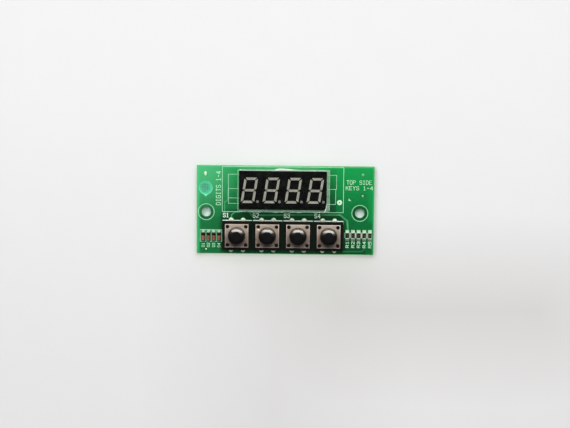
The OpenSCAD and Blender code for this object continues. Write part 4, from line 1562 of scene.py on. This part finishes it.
@dataclass
class Legend:
    """The printed outlines, marks and lettering."""

    line: float = 0.22
    thin: float = 0.16
    thick: float = 0.05
    frame: tuple[Point, Point] = ((-26.3, -0.83), (24.1, 18.0))
    brackets: tuple[Stroke, ...] = (
        ((-23.75, 2.62), (-23.75, 14.78), (-19.3, 14.78)), ((-23.75, 8.8), (-19.3, 8.8)),
        ((-23.75, 2.62), (-19.3, 2.62)), ((17.6, 14.72), (21.16, 14.72), (21.16, 8.86), (17.4, 8.86)),
        ((20.85, 8.86), (20.85, 2.58), (17.3, 2.58)),
    )
    switch_half: Point = (6.1, 6.05)
    dashes: tuple[Point, ...] = ((-5.95, -3.75), (-1.2, 1.2), (3.75, 5.95))
    switch_numbers_x: tuple[float, ...] = (-5.85, -6.1, -5.85, -5.85)
    switch_numbers_y: Point = (-3.15, -1.5)
    diodes: tuple[Point, Point] = ((-35.5, -13.4), (-26.5, -8.46))
    between_diodes: tuple[float, ...] = (-33.1, -30.9, -28.7)
    diode_numbers: tuple[float, ...] = (-34.2, -32.0, -29.8, -27.6)
    resistors: tuple[float, ...] = (24.75, 27.07, 29.42, 31.77, 34.12)
    resistors_y: Point = (-9.2, -11.3)
    arrow: Stroke = ((26.15, 4.2), (26.3, 5.2), (27.3, 4.1))
    dot: Point = (22.52, 3.38)
    dot_r: Point = (0.26, 1.07)
    ring_r: Point = (3.2, 3.46)
    ribbon: tuple[Point, Point] = ((8.9, 11.6), (31.1, 17.5))
    ribbon_mark: Point = (12.2, 11.0)
    words: tuple[tuple[str, Point, Point, float, bool], ...] = (
        ("DIGITS 1-4", (-28.85, 1.95), (-27.0, 15.9), 0.22, True),
        ("TOP SIDE", (25.4, 11.0), (35.7, 12.6), 0.2, False),
        ("KEYS 1-4", (25.1, 8.7), (36.2, 10.2), 0.2, False),
    )

    def build(self, switches: Switches) -> None:
        """Prints both faces.

        Args:
            switches: The buttons that it is printed round.
        """
        self.outlines(switches)
        self.marks()
        self.lettering(switches)
        form = Form()
        self.box(form, *self.ribbon, 0.2, Side.SOLDER)
        x, y = self.ribbon_mark
        form.stroke(((x, y), (x, y + MERGE)), 0.6, self.thick, Side.SOLDER)
        form.piece("legend_solder_side", Look.INK, "laminate")

    def box(self, form: Form, low: Point, high: Point, width: float, side: Side = Side.COMPONENT) -> None:
        """Prints a rectangle, from its lower left to its upper right corner."""
        (x0, y0), (x1, y1) = low, high
        form.stroke(((x0, y0), (x1, y0), (x1, y1), (x0, y1), (x0, y0)), width, self.thick, side)

    def outlines(self, switches: Switches) -> None:
        """Prints the outlines round the parts.

        Args:
            switches: The buttons.
        """
        form, bold = Form(), Form()
        self.box(form, *self.frame, self.line)
        end, edge = switches.centres()[3][0] + self.switch_half[0], switches.y + self.switch_half[1]
        for points in (*self.brackets, ((end, edge), (end, edge - 1.15))):
            form.stroke(points, self.line - 0.04)
        form.stroke(((-23.75, 4.89), (-19.3, 4.89)), self.thin)
        self.box(form, *self.diodes, 0.2)
        for x in self.between_diodes:
            form.stroke(((x, self.diodes[1][1]), (x, self.diodes[0][1])), self.thin)
        first, *rest = [tuple((x, y) for y in self.resistors_y) for x in self.resistors]
        form.stroke(first, self.line - 0.04)
        form.piece("legend_outlines", Look.INK, "laminate")
        for x, _ in switches.centres():
            for start, stop in self.dashes:
                bold.stroke(((x + start, edge + 0.08), (x + stop, edge + 0.08)), 0.36)
        for points in rest:
            bold.stroke(points, self.line)
        bold.piece("legend_bold_lines", Look.BOLD, "laminate")

    def marks(self) -> None:
        """Prints the pin mark, the arrow and the rings round the screw holes."""
        z, h = TOP - 0.01, self.thick + 0.01
        (inner, outer), soft = self.dot_r, h - 0.015
        dot = Form.lathe(((inner, 0), (inner, h), (outer - 0.05, h), (outer, soft), (outer, 0), (inner, 0)))
        Form().stamp(dot, [self.dot], z).piece("legend_marks", Look.MARK, "laminate")
        form = Form()
        corners = bmesh.ops.create_circle(form.bm, cap_ends=True, radius=1, segments=3)["verts"]
        for vert, (x, y) in zip(corners, self.arrow):
            vert.co = (x, y, z)
        bmesh.ops.recalc_face_normals(form.bm, faces=form.bm.faces)
        form.thicken(corners, h)
        inner, outer = self.ring_r
        ring = Form.lathe(((inner, 0), (outer, 0), (outer, h), (inner, h), (inner, 0)), 64)
        form.stamp(ring, HOLES, z).piece("legend_faint_marks", Look.FAINT, "laminate")

    def write(
        self, form: Form, text: str, low: Point, high: Point, width: float, upright: bool,
    ) -> None:
        """Prints a line of plain capitals inside a box.

        Args:
            form: The form that it is added to.
            text: What is printed.
            low: Lower left corner of the box.
            high: Upper right corner of the box.
            width: Width of its strokes.
            upright: Whether it reads upwards.
        """
        (x0, y0), (x1, y1) = low, high
        length, tall = (y1 - y0, x1 - x0) if upright else (x1 - x0, y1 - y0)
        across = length / (len(text) - 0.3)
        cell_x, cell_y = across * 0.7 / 4, tall / 6
        for index, letter in enumerate(text):
            for points in LETTERS[letter]:
                run = [(index * across + x * cell_x, y * cell_y) for x, y in points]
                form.stroke([(x1 - v, y0 + u) if upright else (x0 + u, y0 + v) for u, v in run], width)

    def lettering(self, switches: Switches) -> None:
        """Prints the plain words and part numbers.

        Args:
            switches: The buttons that are numbered.
        """
        form, bold = Form(), Form()
        for word in self.words:
            self.write(form, *word)
        (low, high), lefts = self.switch_numbers_y, zip(switches.centres(), self.switch_numbers_x)
        for number, ((x, _), start) in enumerate(lefts, 1):
            self.write(bold, f"S{number}", (x + start, low), (x + start + 2.3, high), 0.26, False)
        for number, x in enumerate(self.diode_numbers, 1):
            self.write(form, f"D{number}", (x - 0.6, -15.7), (x + 0.5, -14.1), 0.16, True)
        for number in range(1, 6):
            x = RESISTOR_X + RESISTOR_PITCH * (number - 1)
            self.write(form, f"R{number}", (x - 0.55, -15.4), (x + 0.6, -12.9), 0.22, True)
        form.piece("legend_letters", Look.LETTER, "laminate")
        bold.piece("legend_switch_numbers", Look.BOLD, "laminate")


@dataclass
class Joints:
    """The solder at the pins of the buttons and the display."""

    base: float = BOTTOM - 0.05
    tip: float = 0.75
    pad_top: float = TOP + 0.04
    near_bead: Point = (0.82, 0.55)
    far_bead: Point = (1.12, 0.66)
    switch_cone: Point = (1.0, 0.34)
    display_cone: Point = (0.82, 0.25)

    def build(self, switches: Switches, display: Display) -> None:
        """Builds the joints of the buttons and the display.

        Args:
            switches: The buttons.
            display: The display.
        """
        solid = ["switch_solder_joints"]
        near = Form().stamp(self.bead(*self.near_bead), switches.pins(-1))
        near.piece("near_switch_joints", Look.NEAR_SOLDER, "solder", solid, 60)
        both = Form().stamp(self.cone(*self.switch_cone), switches.pins(1) + switches.pins(-1))
        both.stamp(self.bead(*self.far_bead), switches.pins(1))
        both.piece("switch_joints", Look.SOLDER, "solder", solid, 60)
        under = Form().stamp(self.cone(*self.display_cone), display.pins())
        under.piece("display_joints", Look.SOLDER, "solder", ["display_solder_joints"], 60)

    def cone(self, foot: float, neck: float) -> Form:
        """Gives a hollow-sided joint that hangs from a pad.

        Args:
            foot: Its radius at the pad.
            neck: Its radius at the pin.

        Returns:
            The form.
        """
        outline: list[Point] = [(0, self.base + 0.02), (foot, self.base + 0.02)]
        for share in (i / 6 for i in range(7)):
            radius = neck + (foot - 0.02 - neck) * (1 - share) ** 2.2
            outline.append((radius, self.base - (self.base - self.tip) * share))
        return Form.lathe(outline + [(0, self.tip - 0.02)], 24)

    def bead(self, foot: float, height: float) -> Form:
        """Gives a domed bead on a pad.

        Args:
            foot: Its radius at the pad.
            height: Its height.

        Returns:
            The form.
        """
        outline: list[Point] = [(0, self.pad_top - 0.02), (foot, self.pad_top - 0.02)]
        for turn in (math.radians(15 * i) for i in range(6)):
            outline.append((foot * math.cos(turn) ** 0.9, self.pad_top + height * math.sin(turn)))
        return Form.lathe(outline + [(0, self.pad_top + height)], 28)


@dataclass
class SmallParts:
    """The chip resistors, the glass diodes and the sticker."""

    rounded: tuple[Row, ...] = (
        ("resistor_bodies", 0.03, "resistor_blocks", Look.CERAMIC, "resistor_ceramic"),
        ("resistor_coats", 0.03, "resistor_glazes", Look.GLAZE, "resistor_glaze"),
        ("resistor_end_caps", 0.05, "resistor_ends", Look.END_CAP, "chip_end_plating"),
        ("diode_end_caps", 0.08, "diode_ends", Look.DIODE_END, "chip_end_plating"),
        ("chip_solder_fillets", 0.04, "chip_fillets", Look.CHIP_SOLDER, "solder"),
        ("inspection_sticker", 0.03, "round_sticker", Look.STICKER, "sticker_paper"),
    )

    def build(self) -> None:
        """Builds and dresses the small parts."""
        round_off(*self.rounded)
        dress(Look.GLASS, "diode_glass")
        dress(Look.BAND, "diode_bands")
        dress(Look.SLUG, "diode_slugs")


@dataclass
class RibbonConnector:
    """The surface connector underneath."""

    housing: Row = ("ribbon_housing", 0.06, "ribbon_moulding", Look.CONNECTOR, "connector_plastic")
    lock_bar: Row = ("ribbon_lock_bar", 0.06, "ribbon_lock_slider", Look.LOCK_BAR, "lock_bar_plastic")
    contacts: Row = ("ribbon_contacts", 0.02, "ribbon_springs", Look.RIBBON_CONTACT, "ribbon_contact_brass")
    anchors: Row = ("ribbon_anchor_tabs", 0.03, "ribbon_anchors", Look.ANCHOR, "anchor_steel")

    def build(self) -> None:
        """Builds the connector and its lock bar."""
        round_off(self.housing)
        round_off(self.lock_bar, body=Body.LOCK_BAR)
        round_off(self.contacts, self.anchors)


def main() -> None:
    """Builds the stage and the board, part by part."""
    logging.basicConfig(level=logging.INFO, format="%(name)s: %(message)s")
    Studio().build()
    switches, display = Switches(), Display()
    BareBoard().build(switches, display)
    Legend().build(switches)
    switches.build()
    display.build()
    Joints().build(switches, display)
    SmallParts().build()
    RibbonConnector().build()


if __name__ == "__main__":
    main()
